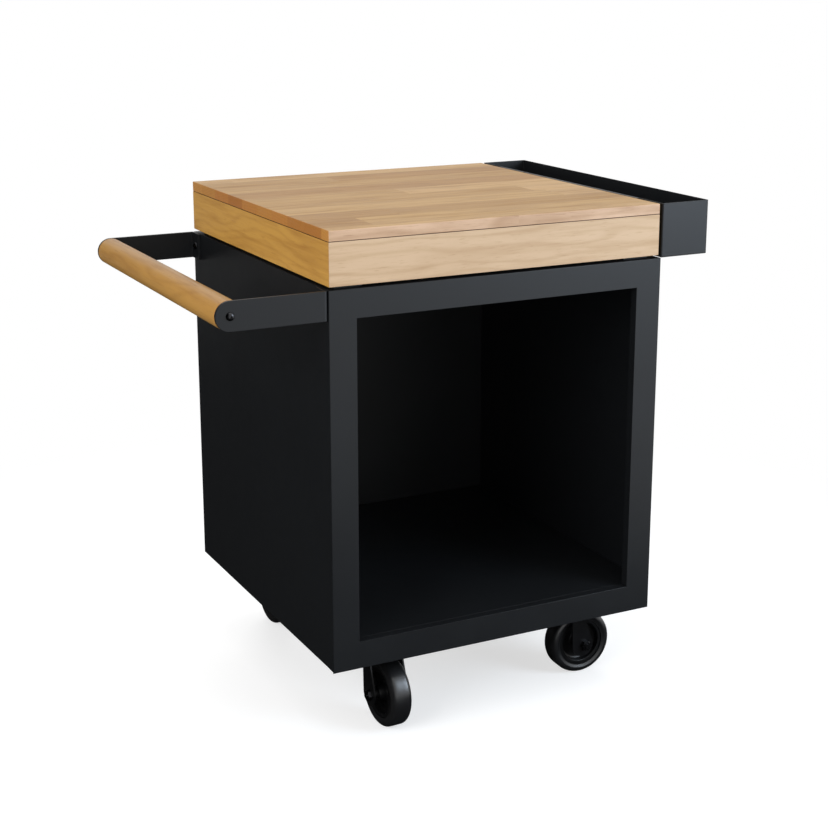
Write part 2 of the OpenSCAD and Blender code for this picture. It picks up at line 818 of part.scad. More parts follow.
module castor_fork() {
    bore_r = kingpin_r + run_fit;
    boss = ball_ring_r - ball_d / 2 - RACE_EDGE;
    tip = trail + leg_end_r;
    color(BLACK) difference() {
        union() {
            intersection() {
                translate([(tip - fork_w / 2) / 2, 0, 0]) along_x(tip + fork_w / 2) fork_end();
                along_y(fork_w) fork_side();
                linear_extrude(crown_z) {
                    circle(fork_w / 2, $fn = ROUND_FINE);
                    translate([0, -fork_w / 2]) square([tip, fork_w]);
                }
            }
            translate([0, 0, crown_z]) cylinder(CROWN_BOSS_H, r = boss);
        }
        translate([0, 0, crown_z - leg_t - OVER])
            cylinder(leg_t + CROWN_BOSS_H + 2 * OVER, r = bore_r);
        translate([trail, 0, wheel_r]) rotate([90, 0, 0])
            cylinder(fork_w + 2 * OVER, r = axle_r + thread_fit, center = true);
    }
}

module on_axle() {
    translate([trail, 0, wheel_r]) rotate([90, 0, 0]) children();
}

module castor_sleeve() {
    color(ZINC) on_axle() difference() {
        cylinder(2 * leg_in, r = sleeve_r, center = true);
        cylinder(2 * leg_in + 2 * OVER, r = axle_r + thread_fit, center = true);
    }
}

// Axle bolt with its nut, two solids
module castor_axle() {
    color(BLACK) on_axle() {
        translate([0, 0, -fork_w / 2 - axle_head_h]) hex_prism(axle_flats, axle_head_h);
        translate([0, 0, -fork_w / 2]) cylinder(fork_w + axle_nut_h + thread_over, r = axle_r);
        translate([0, 0, fork_w / 2]) nut(axle_flats, axle_nut_h, axle_r + thread_fit);
    }
}

// Half outline of the hub, radius and distance from the wheel's middle
function hub_side() =
    let (
        end = leg_in - hub_play,
        wall = tread_w / 2 - wall_bevel - hub_sink,
        inner = rim_r - hub_rim_t,
        boss = boss_l / 2
    )
    [
        [sleeve_r + run_fit, end], [neck_r - HUB_CHAMFER, end], [neck_r, end - HUB_CHAMFER],
        [neck_r, boss], [boss_r - HUB_CHAMFER, boss], [boss_r, boss - HUB_CHAMFER],
        [boss_r + BOSS_FLARE, web_t], [inner - WEB_FILLET, web_t / 2],
        [inner - HUB_CHAMFER, web_t / 2 + HUB_CHAMFER], [inner, wall - HUB_CHAMFER],
        [inner + HUB_CHAMFER, wall], [rim_r - HUB_CHAMFER, wall], [rim_r, wall - HUB_CHAMFER]
    ];

// Outline closed with its mirror image on the other side of the wheel
function mirrored(points) =
    concat(points, [for (i = [len(points) - 1 : -1 : 0]) [points[i][0], -points[i][1]]]);

module castor_hub() {
    color(BLACK) on_axle() rotate_extrude($fn = ROUND_FINE) polygon(mirrored(hub_side()));
}

// Half outline of the tyre: side wall with its bevel, and the round shoulder
function tyre_side() =
    let (wall = tread_w / 2, outer = wheel_r - shoulder)
    concat(
        [
            [rim_r, wall - wall_bevel], [outer - TREAD_STEP - bevel_run, wall - wall_bevel],
            [outer - TREAD_STEP, wall]
        ],
        [for (a = [90 : -SHOULDER_STEP : 0])
            [outer + shoulder * cos(a), wall - shoulder + shoulder * sin(a)]]
    );

module castor_tyre() {
    color(BLACK) on_axle() rotate_extrude($fn = ROUND_FINE) polygon(mirrored(tyre_side()));
}

// One line for each piece

at_cabinet() front_frame();
at_cabinet() side_panel_left();
at_cabinet() side_panel_right();
at_cabinet() back_panel();
at_cabinet() floor_plate();
at_cabinet() top_plate();
at_cabinet() castor_rail(-1);  // castor_rail_left
at_cabinet() castor_rail(1);  // castor_rail_right
at_cabinet() spacer_pads();
at_cabinet() rim_front();
at_cabinet() rim_back();
at_cabinet() rim_left();
at_cabinet() rim_right();
at_cabinet() corner_blocks();
at_cabinet() frame_screws();
at_cabinet() handle_arm_front();
at_cabinet() handle_arm_rear();
at_cabinet() handle_bar();
at_cabinet() handle_inserts();
at_cabinet() handle_end_screws();
at_cabinet() handle_bolts();
at_cabinet() handle_nuts();
at_cabinet() tray_bracket();
at_cabinet() bracket_screws();
at_cabinet() castor_bolts();
at_cabinet() castor_nuts();
at_cabinet() work_board();
at_cabinet() board_cleat(0);  // board_cleat_left
at_cabinet() board_cleat(1);  // board_cleat_right
at_cabinet() cleat_screws();
at_cabinet() planter_tray();
for (k = [0 : 3]) {
    at_castor(k) castor_plate();
    at_fork(k) castor_balls();
    at_fork(k) castor_fork();
    at_fork(k) castor_sleeve();
    at_fork(k) castor_axle();
    at_fork(k) castor_hub();
    at_fork(k) castor_tyre();
}
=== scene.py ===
"""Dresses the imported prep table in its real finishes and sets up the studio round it."""

import json
import logging
import math
from dataclasses import dataclass
from enum import Enum
from functools import cache
from typing import Any, Iterable, Sequence

import bmesh
import bpy
from mathutils import Matrix, Vector


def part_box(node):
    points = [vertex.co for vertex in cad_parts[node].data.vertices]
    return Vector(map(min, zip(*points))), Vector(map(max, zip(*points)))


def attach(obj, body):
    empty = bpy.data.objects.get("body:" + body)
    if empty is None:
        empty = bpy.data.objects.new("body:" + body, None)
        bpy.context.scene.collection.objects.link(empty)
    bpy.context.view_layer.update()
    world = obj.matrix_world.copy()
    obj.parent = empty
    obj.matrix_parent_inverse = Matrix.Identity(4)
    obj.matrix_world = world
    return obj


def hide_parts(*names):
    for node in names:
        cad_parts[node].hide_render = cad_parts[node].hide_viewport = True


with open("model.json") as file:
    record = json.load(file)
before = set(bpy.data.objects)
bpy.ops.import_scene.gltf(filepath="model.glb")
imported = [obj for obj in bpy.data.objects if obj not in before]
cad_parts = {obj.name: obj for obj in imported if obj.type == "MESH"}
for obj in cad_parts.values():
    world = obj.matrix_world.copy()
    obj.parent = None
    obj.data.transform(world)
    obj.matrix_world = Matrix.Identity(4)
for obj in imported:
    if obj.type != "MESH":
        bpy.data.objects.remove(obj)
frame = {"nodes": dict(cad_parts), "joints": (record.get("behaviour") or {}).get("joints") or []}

Object = bpy.types.Object
Material = bpy.types.Material
Tree = bpy.types.NodeTree
Node = bpy.types.Node
Socket = bpy.types.NodeSocket
Source = Node | Socket
Shape = bmesh.types.BMesh
Point = tuple[float, float, float]
Outline = list[tuple[float, float]]

log = logging.getLogger("prep_table")
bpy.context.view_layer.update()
MM = 0.001
# The picture's side in pixels and the camera's sensor.
IMAGE_SIDE = 828
SENSOR_MM = 36.0
# Edges flatter than this are shaded smooth.
SMOOTH_DEG = 32.0
# Faces of a CAD mesh that turn less than this are one face.
FLAT_DEG = 1.0
# Points nearer than this are one point: in a CAD mesh, and on the axis of a turned piece.
WELD_CAD = 2e-6
WELD_AXIS = 1e-7
# Steps round a turned piece, and round a screw's head.
TURN_STEPS = 96
HEAD_STEPS = 36
WHITE = (1.0, 1.0, 1.0, 1.0)


class Corner(Enum):
    """The four castors, by their place seen from the front."""

    FRONT_LEFT = "fl"
    FRONT_RIGHT = "fr"
    REAR_LEFT = "rl"
    REAR_RIGHT = "rr"


class Axis(Enum):
    """A direction of the shared frame, by its place in a vector."""

    X = 0
    Y = 1
    Z = 2


def linear(hex_colour: str) -> tuple[float, float, float, float]:
    """Turns an sRGB hex colour into linear light.

    Args:
        hex_colour: six hex digits, such as "c8a784".

    Returns:
        Red, green, blue and an alpha of 1.
    """
    parts = [int(hex_colour[i:i + 2], 16) / 255 for i in (0, 2, 4)]
    red, green, blue = (c / 12.92 if c <= 0.04045 else ((c + 0.055) / 1.055) ** 2.4 for c in parts)
    return red, green, blue, 1.0


def add(tree: Tree, kind: str, inputs: dict | None = None, **settings: Any) -> Node:
    """Adds one node with its settings, values and links.

    Args:
        tree: the node tree that takes the node.
        kind: the node's type name.
        inputs: socket name or index to a value, to the output that it is linked to, or to the
            node whose first output it is linked to.
        settings: properties of the node itself.

    Returns:
        The new node.
    """
    node = tree.nodes.new(kind)
    for name, value in settings.items():
        setattr(node, name, value)
    for key, value in (inputs or {}).items():
        if isinstance(value, Node):
            value = value.outputs[0]
        if isinstance(value, Socket):
            tree.links.new(value, node.inputs[key])
        else:
            node.inputs[key].default_value = value
    return node


def faces_along(tree: Tree, axis: Axis, least: float = 0.7) -> Node:
    """Finds the faces that look along an axis, one way or the other.

    Args:
        tree: the material's node tree.
        axis: the axis.
        least: the share of it that the faces' normals have at least.

    Returns:
        A node that gives 1 on those faces and 0 elsewhere.
    """
    normal = add(tree, "ShaderNodeNewGeometry").outputs["True Normal"]
    share = add(tree, "ShaderNodeSeparateXYZ", {0: normal}).outputs[axis.value]
    size = add(tree, "ShaderNodeMath", {0: share}, operation="ABSOLUTE")
    return add(tree, "ShaderNodeMath", {0: size, 1: least}, operation="GREATER_THAN")


def seen_directly(tree: Tree) -> Node:
    """Tells the rays that show the white background from the rest.

    Args:
        tree: the node tree of a material or the world.

    Returns:
        A node that gives 1 to camera, glossy and transmission rays and 0 to the rest.
    """
    rays = add(tree, "ShaderNodeLightPath").outputs
    sharp = add(tree, "ShaderNodeMath", {0: rays["Is Camera Ray"], 1: rays["Is Glossy Ray"]},
                operation="MAXIMUM")
    return add(tree, "ShaderNodeMath", {0: sharp, 1: rays["Is Transmission Ray"]},
               operation="MAXIMUM")


def empty_material(name: str) -> tuple[Material, Tree]:
    """Starts a material without nodes.

    Args:
        name: the real material's name.

    Returns:
        The material and its tree.
    """
    material = bpy.data.materials.new(name)
    material.use_nodes = True
    material.node_tree.nodes.clear()
    return material, material.node_tree


def finished(material: Material, colour: Source, rough: Source, height: Source, relief: float,
             levels: dict[str, float]) -> Material:
    """Ends a material with its relief and its main shader.

    Args:
        material: the material.
        colour: its colour.
        rough: its roughness.
        height: its relief, from 0 to 1.
        relief: how high that relief is, in metres.
        levels: the shader's other values.

    Returns:
        The same material.
    """
    tree = material.node_tree
    bump = add(tree, "ShaderNodeBump", {"Height": height, "Strength": 1.0, "Distance": relief})
    shader = add(tree, "ShaderNodeBsdfPrincipled",
                 {"Base Color": colour, "Roughness": rough, "Normal": bump} | levels)
    add(tree, "ShaderNodeOutputMaterial", {"Surface": shader})
    return material


@dataclass(frozen=True)
class PlainFinish:
    """A painted, plated or moulded finish with an even colour and a fine surface texture."""

    name: str
    colour: str
    patch_colour: str
    roughness: float
    roughness_spread: float
    patch_mm: float
    grit_mm: float
    grit_height_mm: float
    metallic: float = 0.0
    specular: float = 0.5

    @cache
    def material(self) -> Material:
        """Builds the finish once: cloudy colour and roughness, and a fine bump.

        Returns:
            The material.
        """
        material, tree = empty_material(self.name)
        place = add(tree, "ShaderNodeTexCoord").outputs["Object"]
        cloud = add(tree, "ShaderNodeTexNoise",
                    {"Vector": place, "Scale": 1 / (self.patch_mm * MM), "Detail": 4.0,
                     "Roughness": 0.6})
        grit = add(tree, "ShaderNodeTexNoise",
                   {"Vector": place, "Scale": 1 / (self.grit_mm * MM), "Detail": 2.0,
                    "Roughness": 0.55})
        colour = add(tree, "ShaderNodeMix",
                     {0: cloud, 6: linear(self.colour), 7: linear(self.patch_colour)},
                     data_type="RGBA").outputs[2]
        # most of the noise lies between 0.3 and 0.7
        rough = add(tree, "ShaderNodeMapRange",
                    {"Value": cloud, "From Min": 0.3, "From Max": 0.7,
                     "To Min": self.roughness - self.roughness_spread,
                     "To Max": self.roughness + self.roughness_spread})
        return finished(material, colour, rough, grit, self.grit_height_mm * MM,
                        {"Metallic": self.metallic, "Specular IOR Level": self.specular})


@dataclass(frozen=True)
class Figure:
    """One layer of the wood's figure: noise of a size, cut to the values from low to high."""

    size_mm: float
    detail: float
    low: float
    high: float

    def layer(self, tree: Tree, place: Source, strength: float) -> Node:
        """Adds the layer.

        Args:
            tree: the material's node tree.
            place: the coordinates.
            strength: the most that the layer gives.

        Returns:
            The layer, from 0 to its strength.
        """
        cloud = add(tree, "ShaderNodeTexNoise",
                    {"Vector": place, "Scale": 1 / (self.size_mm * MM), "Detail": self.detail,
                     "Roughness": 0.6})
        return add(tree, "ShaderNodeMapRange",
                   {"Value": cloud, "From Min": self.low, "From Max": self.high, "To Min": 0.0,
                    "To Max": strength}, interpolation_type="SMOOTHSTEP")


STREAKS = Figure(14.0, 5.0, 0.46, 0.72)
CLOUDS = Figure(45.0, 2.0, 0.42, 0.68)
PORES = Figure(2.2, 3.0, 0.56, 0.7)


@dataclass(frozen=True)
class WoodFinish:
    """Oiled hardwood: staves, growth rings, streaks and pores along the grain, and end grain."""

    name: str
    grain: Axis
    width: Axis
    tones: tuple[str, ...]
    vein: str
    end_tones: tuple[str, ...]
    stave_mm: float = 900.0
    stave_start_mm: float = -450.0
    stave_length_mm: float = 90000.0
    ring_mm: float = 9.0
    ring_strength: float = 0.22
    streak_strength: float = 0.3
    cloud_strength: float = 0.2
    pore_strength: float = 0.3
    joint_strength: float = 0.0
    joint_half_mm: float = 0.6
    # painted light: a paler tone for the faces across the width, and how much of it they take
    lit_side_tone: str = ""
    lit_side_share: float = 0.85
    # the height of the seam under the board, and the width, tone and strength of the painted shade
    # along it
    seam_z_mm: float = 0.0
    seam_shade_half_mm: float = 0.8
    seam_shade_tone: str = "3a1f10"
    seam_shade_strength: float = 0.8
    roughness: float = 0.5
    roughness_spread: tuple[float, float] = (-0.06, 0.25)
    specular: float = 0.25
    relief_m: float = 0.0003
    seed: float = 0.0

    def _stave(self, tree: Tree, along: Socket, across: Socket) -> tuple[Socket, Socket, Node]:
        """Numbers the staves.

        Args:
            tree: the material's node tree.
            along: distance along the grain.
            across: distance across it.

        Returns:
            A random value and a random colour for each stave, and the place across its width
            from 0 to 1.
        """
        moved = add(tree, "ShaderNodeMath", {0: across, 1: -self.stave_start_mm * MM},
                    operation="ADD")
        lane = add(tree, "ShaderNodeMath", {0: moved, 1: self.stave_mm * MM}, operation="DIVIDE")
        row = add(tree, "ShaderNodeMath", {0: lane}, operation="FLOOR")
        seeded = add(tree, "ShaderNodeMath", {0: row, 1: self.seed}, operation="ADD")
        shift = add(tree, "ShaderNodeTexWhiteNoise", {"W": seeded}, noise_dimensions="1D")
        lengths = add(tree, "ShaderNodeMath", {0: along, 1: self.stave_length_mm * MM},
                      operation="DIVIDE")
        step = add(tree, "ShaderNodeMath", {0: lengths, 1: shift}, operation="ADD")
        number = add(tree, "ShaderNodeMath", {0: step}, operation="FLOOR")
        cell = add(tree, "ShaderNodeCombineXYZ", {"X": row, "Y": number, "Z": self.seed})
        pick = add(tree, "ShaderNodeTexWhiteNoise", {"Vector": cell}, noise_dimensions="3D")
        width = add(tree, "ShaderNodeMath", {0: lane}, operation="FRACT")
        return pick.outputs["Value"], pick.outputs["Color"], width

    def _tone(self, tree: Tree, chance: Socket, tones: Sequence[str]) -> Node:
        """Gives each stave one of the tones, or a mix of two neighbours.

        Args:
            tree: the material's node tree.
            chance: the stave's random value.
            tones: the hex colours.

        Returns:
            The stave's tone.
        """
        pick = add(tree, "ShaderNodeValToRGB", {"Fac": chance})
        elements = pick.color_ramp.elements
        while len(elements) < len(tones):
            elements.new(0.5)
        while len(elements) > len(tones):
            elements.remove(elements[-1])
        for i, (element, tone) in enumerate(zip(elements, tones)):
            element.position = (i + 0.5) / len(tones)
            element.color = linear(tone)
        return pick

    def _rings(self, tree: Tree, across: Socket, place: Source) -> Node:
        """Draws the growth rings as lines that waver along the grain.

        Args:
            tree: the material's node tree.
            across: distance across the grain.
            place: the coordinates that make them waver.

        Returns:
            The rings, from 0 to their strength.
        """
        sway_scale, sway_rings, line_start = 11.0, 14.0, 0.4
        sway = add(tree, "ShaderNodeTexNoise",
                   {"Vector": place, "Scale": sway_scale, "Detail": 2.0, "Roughness": 0.5})
        even = add(tree, "ShaderNodeMath", {0: across, 1: self.ring_mm * MM}, operation="DIVIDE")
        moved = add(tree, "ShaderNodeMath", {0: sway, 1: sway_rings}, operation="MULTIPLY")
        line = add(tree, "ShaderNodeMath", {0: even, 1: moved}, operation="ADD")
        wave = add(tree, "ShaderNodeMath", {0: line, 1: 1.0}, operation="PINGPONG")
        return add(tree, "ShaderNodeMapRange",
                   {"Value": wave, "From Min": line_start, "From Max": 1.0, "To Min": 0.0,
                    "To Max": self.ring_strength}, interpolation_type="SMOOTHSTEP")

    def _end_grain(self, tree: Tree, across: Socket, thick: Socket, chance: Socket,
                   tint: Socket) -> Socket:
        """Draws the arcs of the growth rings on a stave's end, in the stave's own tone.

        Args:
            tree: the material's node tree.
            across: distance across the grain.
            thick: distance through the thickness.
            chance: the stave's random value.
            tint: the stave's random colour.

        Returns:
            The end grain's colour.
        """
        reach, ring_share = (0.05, 0.06, 0.0), 0.2
        flat = add(tree, "ShaderNodeCombineXYZ", {"X": across, "Y": thick, "Z": 0.0})
        start = add(tree, "ShaderNodeVectorMath", {0: tint, 1: reach}, operation="MULTIPLY")
        place = add(tree, "ShaderNodeVectorMath", {0: flat, 1: start}, operation="ADD")
        arcs = add(tree, "ShaderNodeTexWave",
                   {"Vector": place, "Scale": 60.0, "Distortion": 2.5, "Detail": 2.0,
                    "Detail Scale": 2.0}, wave_type="RINGS", rings_direction="Z")
        amount = add(tree, "ShaderNodeMath", {0: arcs.outputs["Fac"], 1: ring_share},
                     operation="MULTIPLY")
        tone = self._tone(tree, chance, self.end_tones)
        return add(tree, "ShaderNodeMix", {0: amount, 6: tone, 7: linear(self.vein)},
                   data_type="RGBA").outputs[2]

    def _joint(self, tree: Tree, width: Node) -> Node:
        """Draws a hairline of shadow where two staves meet.

        Args:
            tree: the material's node tree.
            width: the place across a stave from 0 to 1.

        Returns:
            The hairline, from 0 to its strength.
        """
        off = add(tree, "ShaderNodeMath", {0: width, 1: 0.5}, operation="SUBTRACT")
        edge = add(tree, "ShaderNodeMath", {0: off}, operation="ABSOLUTE")
        joint = add(tree, "ShaderNodeMath", {0: edge, 1: 0.5 - self.joint_half_mm / self.stave_mm},
                    operation="GREATER_THAN")
        return add(tree, "ShaderNodeMath", {0: joint, 1: self.joint_strength},
                   operation="MULTIPLY")

    def _seam_shade(self, tree: Tree, height: Socket) -> Node:
        """Paints shade in a band along the seam under the board, where the gap lies in shadow.

        Args:
            tree: the material's node tree.
            height: the height above the floor.

        Returns:
            The painted seam shade, from 0 to its strength.
        """
        # painted shade: a dark band within half its width of the seam's height
        off = add(tree, "ShaderNodeMath", {0: height, 1: self.seam_z_mm * MM},
                  operation="SUBTRACT")
        gap = add(tree, "ShaderNodeMath", {0: off}, operation="ABSOLUTE")
        shade_band = add(tree, "ShaderNodeMath", {0: gap, 1: self.seam_shade_half_mm * MM},
                     operation="LESS_THAN")
        return add(tree, "ShaderNodeMath", {0: shade_band, 1: self.seam_shade_strength},
                   operation="MULTIPLY")

    @cache
    def material(self) -> Material:
        """Builds the wood once, from its staves, rings, streaks, pores and end grain.

        Returns:
            The material.
        """
        material, tree = empty_material(self.name)
        place = add(tree, "ShaderNodeTexCoord").outputs["Object"]
        split = add(tree, "ShaderNodeSeparateXYZ", {0: place}).outputs
        spare = ({0, 1, 2} - {self.grain.value, self.width.value}).pop()
        along, across, thick = split[self.grain.value], split[self.width.value], split[spare]
        chance, tint, width = self._stave(tree, along, across)

        # each stave starts its figure somewhere else in the tree, and the figure is drawn out
        # along the grain, the streaks more than the clouds
        start = add(tree, "ShaderNodeVectorMath", {0: tint, 1: (9.0, 9.0, 9.0)},
                    operation="MULTIPLY")
        places = []
        for squeeze in (0.07, 0.22):
            squeezed = add(tree, "ShaderNodeMath", {0: along, 1: squeeze}, operation="MULTIPLY")
            spot = add(tree, "ShaderNodeCombineXYZ", {"X": squeezed, "Y": across, "Z": thick})
            places.append(add(tree, "ShaderNodeVectorMath", {0: spot, 1: start}, operation="ADD"))
        long, short = places
        clouds = CLOUDS.layer(tree, short, self.cloud_strength)
        streaks = STREAKS.layer(tree, long, self.streak_strength)
        rings = self._rings(tree, across, short)
        pores = PORES.layer(tree, long, self.pore_strength)

        # each layer covers the ones before it by its amount
        vein = linear(self.vein)
        layers = [(clouds, vein), (streaks, vein), (rings, vein), (pores, vein)]
        # painted light: the faces across the width take a paler tone, as the lit front edge shows
        if self.lit_side_tone:
            side = add(tree, "ShaderNodeMath",
                       {0: faces_along(tree, self.width), 1: self.lit_side_share},
                       operation="MULTIPLY")
            layers.insert(0, (side, linear(self.lit_side_tone)))
        if self.joint_strength:
            layers.append((self._joint(tree, width), vein))
        # end grain shows on the faces that the grain runs into
        layers.append((faces_along(tree, self.grain),
                       self._end_grain(tree, across, thick, chance, tint)))
        # painted shade along the seam under the board
        if self.seam_z_mm:
            layers.append((self._seam_shade(tree, split[Axis.Z.value]), linear(self.seam_shade_tone)))
        colour = self._tone(tree, chance, self.tones)
        for amount, tone in layers:
            colour = add(tree, "ShaderNodeMix", {0: amount, 6: colour, 7: tone},
                         data_type="RGBA").outputs[2]

        # streaks are duller than the oiled wood round them, and pores are little pits
        glossy, dull = self.roughness_spread
        rough = add(tree, "ShaderNodeMapRange",
                    {"Value": streaks, "To Min": self.roughness + glossy,
                     "To Max": self.roughness + dull})
        raised = add(tree, "ShaderNodeMath", {0: streaks, 1: 0.5}, operation="MULTIPLY")
        height = add(tree, "ShaderNodeMath", {0: raised, 1: pores}, operation="SUBTRACT")
        return finished(material, colour, rough, height, self.relief_m,
                        {"Specular IOR Level": self.specular})


Finish = PlainFinish | WoodFinish

# Sheet steel under a fine-textured matt polyester powder coat: dark blue-grey, a soft sheen and no
# clear reflection. The orange-peel grain is about 1 mm, drawn at 2.2 mm so that it shows.
STEEL_COAT = PlainFinish("polyester_powder_coat", "141517", "17191b", 0.43, 0.04, 160, 2.2, 0.07,
                         specular=0.34)
# Oiled oak staves glued edge to edge: light and mid brown, soft brown clouds along the grain,
# orange-brown end grain, a pale pinkish tone on the front and back edges that is painted light
# of the lit front, and painted shade along the seam under the board.
BOARD_OAK = WoodFinish(
    "oiled_oak_staves", Axis.X, Axis.Y, ("a77b3f", "ab8247", "b58c50", "bd955b", "c49c65"),
    "855c2f", ("9b632d", "ad7938", "a66c32", "b4813e"), stave_mm=71.0, stave_start_mm=-297.0,
    stave_length_mm=600.0, ring_mm=8.0, ring_strength=0.2, cloud_strength=0.28,
    joint_strength=0.16, lit_side_tone="d5b398", seam_z_mm=899.5, seed=19521.0)
# Solid oiled oak boards of the frame's front and back: pale, with a faint pink cast; the paleness
# is painted light, the lit copy of the same oak as the side boards, with painted shade along the
# seam.
LIT_FRAME_OAK = WoodFinish(
    "oiled_oak_lit_frame", Axis.X, Axis.Z, ("cdaf8e",), "a07a50", ("a8743c",), ring_mm=11.0,
    streak_strength=0.28, cloud_strength=0.18, seam_z_mm=899.5, seed=7.0)
# The same oak on the side boards, painted darker and more golden as painted shade: the shaded copy
# of the front boards' oak, with painted shade along the seam.
SHADED_SIDE_OAK = WoodFinish(
    "oiled_oak_shaded_side_frame", Axis.Y, Axis.Z, ("b88b42",), "8a5a24", ("a8743c",), ring_mm=12.0,
    streak_strength=0.36, cloud_strength=0.24, seam_z_mm=899.5, seed=11.0)
# The turned oak bar of the handle, oiled by hands: a warm brown with a low sheen.
BAR_OAK = WoodFinish(
    "oiled_oak_bar", Axis.Y, Axis.X, ("a97e40",), "80562a", ("a8743c",), ring_mm=10.0,
    cloud_strength=0.22, roughness=0.42, seed=17.0)
# Solid rubber tyre, moulded: near black with a grey bloom, and a soft sheen on the shoulder.
TYRE_RUBBER = PlainFinish("moulded_solid_rubber", "121213", "1a1a1b", 0.34, 0.06, 30, 2.0, 0.02,
                          specular=0.75)
# Injection-moulded black nylon wheel centre with a spark-eroded texture.
HUB_NYLON = PlainFinish("moulded_black_nylon", "0a0a0b", "0e0e0f", 0.38, 0.05, 25, 1.5, 0.01,
                        specular=0.35)
# Pressed steel castor fork under gloss black e-coat.
CASTOR_COAT = PlainFinish("black_electrocoat", "0c0c0d", "101011", 0.36, 0.05, 40, 2.0, 0.01,
                          specular=0.3)
# Black-oxide steel screws: dark, slightly oily metal.
BLACK_STEEL = PlainFinish("black_oxide_steel", "3a3a3c", "464648", 0.3, 0.06, 6, 1.0, 0.005,
                          metallic=1.0)
# Bright zinc plate on steel, with a faint cloudy spangle.
ZINC_STEEL = PlainFinish("bright_zinc_plate", "b4b7ba", "9ea2a6", 0.32, 0.08, 8, 1.0, 0.005,
                         metallic=1.0)
# Turned brass inserts.
INSERT_BRASS = PlainFinish("turned_brass", "c9a860", "b8974f", 0.3, 0.06, 6, 1.0, 0.004,
                           metallic=1.0)
# Die-cut black rubber pads under the wooden frame.
PAD_RUBBER = PlainFinish("die_cut_rubber", "111111", "171717", 0.7, 0.06, 20, 1.5, 0.02)


def paint_node(name: str, finish: Finish) -> None:
    """Gives a CAD node its finish.

    Args:
        name: the node.
        finish: what it is painted with.
    """
    mesh = frame["nodes"][name].data
    mesh.materials.clear()
    mesh.materials.append(finish.material())


def seat(piece: Object, body: str, slot: str, *nodes: str) -> None:
    """Hands a finished piece to the frame.

    Args:
        piece: the mesh object, with its place in its mesh.
        body: the CAD body that it moves with.
        slot: the record's material slot; not used.
        nodes: the CAD nodes that it stands for.
    """
    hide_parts(*nodes)
    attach(piece, body)
    log.info("%s rides on %s for %s", piece.name, body, ", ".join(nodes))


def linked(name: str, data: bpy.types.ID) -> Object:
    """Makes an object of its data and links it to the scene.

    Args:
        name: the object's name.
        data: its mesh, camera or lamp.

    Returns:
        The object.
    """
    piece = bpy.data.objects.new(name, data)
    bpy.context.scene.collection.objects.link(piece)
    return piece


def mesh_object(name: str, shape: Shape, finish: Finish) -> Object:
    """Turns a built shape into an object.

    Args:
        name: the piece's name.
        shape: the built mesh, which is freed.
        finish: its finish.

    Returns:
        The object, linked to the scene.
    """
    mesh = bpy.data.meshes.new(name)
    shape.to_mesh(mesh)
    shape.free()
    mesh.shade_smooth()
    mesh.set_sharp_from_angle(angle=math.radians(SMOOTH_DEG))
    mesh.materials.append(finish.material())
    return linked(name, mesh)


def bake_modifiers(piece: Object) -> None:
    """Puts the result of a piece's modifiers in its mesh and removes them.

    Args:
        piece: the object.
    """
    graph = bpy.context.evaluated_depsgraph_get()
    result = bpy.data.meshes.new_from_object(piece.evaluated_get(graph))
    result.name = piece.data.name
    piece.modifiers.clear()
    piece.data = result


def soften(piece: Object, edge_mm: float, segments: int = 2,
           angle_deg: float = 40.0) -> None:
    """Rounds a piece's sharp edges and shades the rest smooth.

    Args:
        piece: the object.
        edge_mm: the radius of the rounding.
        segments: how many faces round an edge.
        angle_deg: edges sharper than this are rounded.
    """
    bevel = piece.modifiers.new("edges", "BEVEL")
    bevel.width = edge_mm * MM
    bevel.segments = segments
    bevel.limit_method = "ANGLE"
    bevel.angle_limit = math.radians(angle_deg)
    bevel.miter_outer = "MITER_ARC"
    bevel.use_clamp_overlap = True
    flat = piece.modifiers.new("flat_faces", "WEIGHTED_NORMAL")
    flat.weight = 100
    flat.keep_sharp = True
    bake_modifiers(piece)


def softened_node(name: str, body: str, slot: str, finish: Finish, edge_mm: float,
                  segments: int = 2) -> None:
    """Puts a copy of a CAD node, with rounded edges and smooth bends, in its place.

    Args:
        name: the CAD node.
        body: the body that it rides on.
        slot: the record's material slot.
        finish: its finish.
        edge_mm: the radius of its edges.
        segments: how many faces round an edge.
    """
    shape = bmesh.new()
    shape.from_mesh(frame["nodes"][name].data)
    bmesh.ops.remove_doubles(shape, verts=shape.verts, dist=WELD_CAD)
    bmesh.ops.dissolve_limit(shape, angle_limit=math.radians(FLAT_DEG), verts=shape.verts,
                             edges=shape.edges)
    piece = mesh_object(f"{name}_shown", shape, finish)
    soften(piece, edge_mm, segments)
    seat(piece, body, slot, name)


def turned(name: str, outline: Outline, centre: Vector, axis: Vector,
           finish: Finish) -> Object:
    """Spins an outline round an axis.

    Args:
        name: the piece's name.
        outline: points of radius and distance along the axis, in metres, as a closed loop.
        centre: a point on the axis.
        axis: the axis' direction.
        finish: the piece's finish.

    Returns:
        The turned object.
    """
    turn = axis.normalized().to_track_quat("Z", "Y").to_matrix().to_4x4()
    place = Matrix.Translation(centre) @ turn
    shape = bmesh.new()
    rings = []
    for i in range(TURN_STEPS):
        a = math.tau * i / TURN_STEPS
        spots = [Vector((r * math.cos(a), r * math.sin(a), z)) for r, z in outline]
        rings.append([shape.verts.new(place @ spot) for spot in spots])
    for i, ring in enumerate(rings):
        after = rings[(i + 1) % TURN_STEPS]
        for j in range(len(outline)):
            k = (j + 1) % len(outline)
            shape.faces.new((ring[j], after[j], after[k], ring[k]))
    bmesh.ops.remove_doubles(shape, verts=shape.verts, dist=WELD_AXIS)
    bmesh.ops.recalc_face_normals(shape, faces=shape.faces)
    return mesh_object(name, shape, finish)


